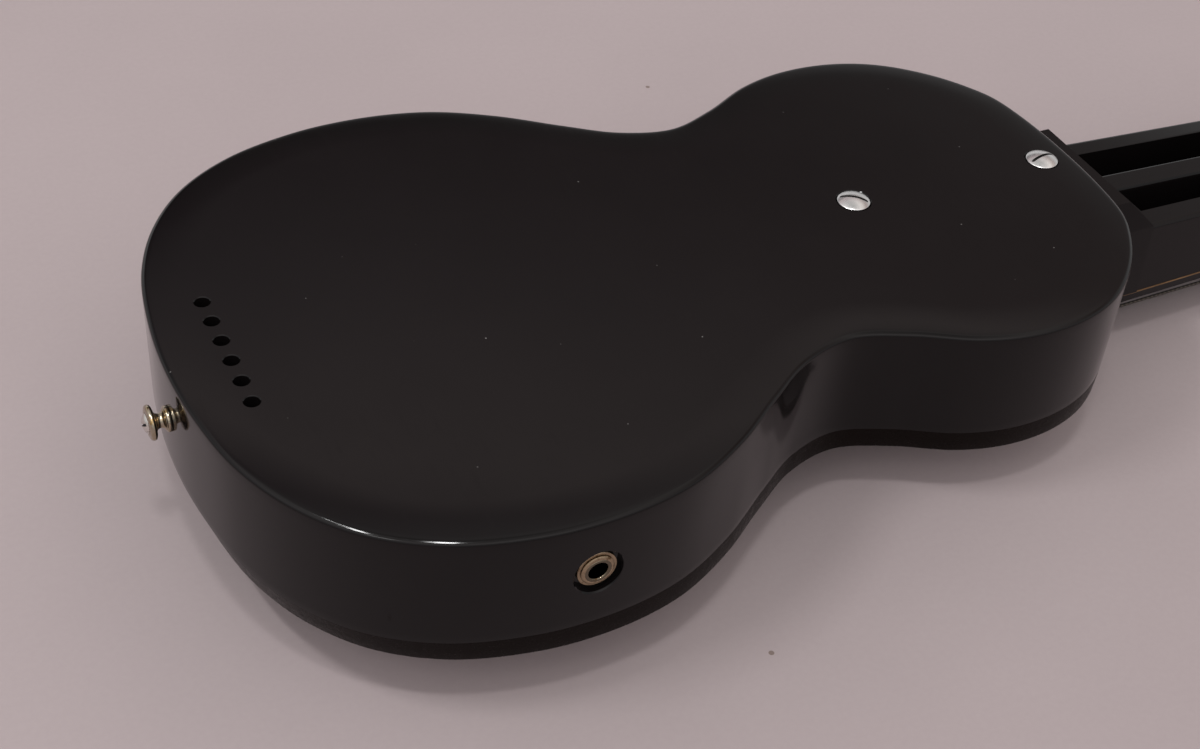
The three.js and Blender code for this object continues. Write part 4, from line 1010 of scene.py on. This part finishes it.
# Light from the room towards each side: the sine of the height above the horizon, then red, green, blue
ROOM_LIGHT = {
    "far": ((0.0, 0.60, 0.60, 0.60), (0.25, 0.85, 0.84, 0.85), (0.45, 0.03, 0.03, 0.03),
            (0.55, 0.124, 0.099, 0.110), (0.62, 0.347, 0.301, 0.313), (0.69, 0.743, 0.632, 0.620),
            (0.76, 0.325, 0.272, 0.290), (0.85, 0.581, 0.556, 0.560), (1.0, 0.41, 0.41, 0.40)),
    "near": ((0.0, 0.60, 0.60, 0.60), (0.3, 0.55, 0.55, 0.56), (0.6, 1.52, 1.44, 1.43),
             (0.85, 1.26, 1.21, 1.20), (1.0, 0.41, 0.41, 0.40)),
    "neck": ((0.0, 0.60, 0.60, 0.60), (0.3, 0.657, 0.665, 0.669), (0.6, 0.39, 0.30, 0.28),
             (0.85, 1.02, 0.97, 0.93), (1.0, 0.41, 0.41, 0.40)),
    "tail": ((0.0, 0.60, 0.60, 0.60), (0.3, 0.67, 0.67, 0.69), (0.6, 1.28, 1.25, 1.26),
             (0.85, 1.26, 1.23, 1.22), (1.0, 0.41, 0.41, 0.40)),
}

# The axis along which each side lies, and which way
SIDES = {"far": (1, 1.0), "near": (1, -1.0), "neck": (0, 1.0), "tail": (0, -1.0)}


def room(strength):
    """Soft light from the room, which changes with its height and its side."""
    world = bpy.data.worlds.new("room")
    bpy.context.scene.world = world
    world.use_nodes = True
    tree = world.node_tree
    tree.nodes.clear()
    out = shader_node(tree, "ShaderNodeOutputWorld")
    parts = split(tree, shader_node(tree, "ShaderNodeTexCoord").outputs["Generated"])
    squares = [arithmetic(tree, "MULTIPLY", parts[axis], parts[axis]) for axis in (0, 1)]
    level = arithmetic(tree, "ADD", arithmetic(tree, "ADD", squares[0], squares[1]), 1e-6)
    total = None
    for side, stops in ROOM_LIGHT.items():
        axis, sign = SIDES[side]
        ramp = shader_node(tree, "ShaderNodeValToRGB")
        elements = ramp.color_ramp.elements
        while len(elements) < len(stops):
            elements.new(0.5)
        for element, (height, *_) in zip(elements, stops):
            element.position = height
        for element, (_, *colour) in zip(elements, stops):
            element.color = rgba(colour)
        wire(tree, parts[2], ramp.inputs[0])
        facing = arithmetic(tree, "MULTIPLY", parts[axis], sign, clamp=True)
        share = arithmetic(tree, "DIVIDE", arithmetic(tree, "MULTIPLY", facing, facing), level)
        lobe = scaled_colour(tree, ramp.outputs[0], share)
        if total is None:
            total = lobe
        else:
            added = shader_node(tree, "ShaderNodeVectorMath", operation="ADD")
            wire(tree, total, added.inputs[0])
            wire(tree, lobe, added.inputs[1])
            total = added.outputs[0]
    lit = shader_node(tree, "ShaderNodeBackground", {"Strength": strength})
    wire(tree, total, lit.inputs["Color"])
    wire(tree, lit.outputs[0], out.inputs[0])


def camera():
    """The camera at the photograph's viewing angle."""
    azimuth, elevation, roll = (math.radians(angle) for angle in CAMERA_ANGLES)
    forward = Vector((math.sin(azimuth) * math.cos(elevation), math.cos(azimuth) * math.cos(elevation),
                      -math.sin(elevation)))
    level = Vector((math.cos(azimuth), -math.sin(azimuth), 0))
    upright = level.cross(forward)
    right = math.cos(roll) * level + math.sin(roll) * upright
    up = math.cos(roll) * upright - math.sin(roll) * level
    data = bpy.data.cameras.new("camera")
    data.lens = bpy.context.scene.guitar_stage.lens
    data.sensor_width = 36.0
    data.clip_start, data.clip_end = 0.01, 50.0
    holder = bpy.data.objects.new("camera", data)
    bpy.context.scene.collection.objects.link(holder)
    turn = Matrix((right, up, -forward)).transposed().to_4x4()
    holder.matrix_world = Matrix.Translation(local(*CAMERA_PLACE)) @ turn
    bpy.context.scene.camera = holder


class GUITAR_OT_stage(Operator):
    """Lay the pale table and set the lamps, the room's light and the camera"""
    bl_idname = "guitar.stage"
    bl_label = "Stage"

    def execute(self, context):
        stage = context.scene.guitar_stage
        bm = bmesh.new()
        bmesh.ops.create_circle(bm, cap_ends=True, radius=TABLE_RADIUS, segments=96)
        mesh = mesh_of(bm, "table")
        mesh.materials.append(floor_finish())
        table = bpy.data.objects.new("table", mesh)
        context.scene.collection.objects.link(table)
        for name, (place, size) in LAMPS.items():
            lamp(name + "_lamp", place, size, getattr(stage, name + "_power"))
        room(stage.room_strength)
        camera()
        context.scene.view_settings.view_transform = "Standard"
        return {"FINISHED"}


# Panel and registration

PIECE_OPERATORS = (
    GUITAR_OT_body, GUITAR_OT_neck, GUITAR_OT_screws, GUITAR_OT_strap_button, GUITAR_OT_jack,
    GUITAR_OT_strings, GUITAR_OT_pickup, GUITAR_OT_covers, GUITAR_OT_controls, GUITAR_OT_tuners,
    GUITAR_OT_stage,
)


class GUITAR_PT_panel(Panel):
    """The guitar's sizes, colours and pieces"""
    bl_idname = "GUITAR_PT_panel"
    bl_label = "Lap Steel Guitar"
    bl_space_type = "VIEW_3D"
    bl_region_type = "UI"
    bl_category = "Guitar"

    def draw(self, context):
        layout = self.layout
        for group in (context.scene.guitar_sizes, context.scene.guitar_colours, context.scene.guitar_stage):
            for name in group.bl_rna.properties.keys():
                if name not in ("rna_type", "name"):
                    layout.prop(group, name)
        for operator in PIECE_OPERATORS:
            layout.operator(operator.bl_idname)


CLASSES = (GuitarSizes, GuitarColours, GuitarStage, *PIECE_OPERATORS, GUITAR_PT_panel)
GROUPS = (("guitar_sizes", GuitarSizes), ("guitar_colours", GuitarColours), ("guitar_stage", GuitarStage))


def register():
    """Registers the classes and hangs the groups on the scene."""
    for made in CLASSES:
        bpy.utils.register_class(made)
    for name, group in GROUPS:
        setattr(bpy.types.Scene, name, PointerProperty(type=group))


def unregister():
    """Takes the groups and the classes away again."""
    for name, _ in GROUPS:
        delattr(bpy.types.Scene, name)
    for made in reversed(CLASSES):
        bpy.utils.unregister_class(made)


def main():
    """Builds every piece and the stage."""
    register()
    FINISHES.update(make_finishes())
    for operator in PIECE_OPERATORS:
        group, name = operator.bl_idname.split(".")
        getattr(getattr(bpy.ops, group), name)()


if __name__ == "__main__":
    main()
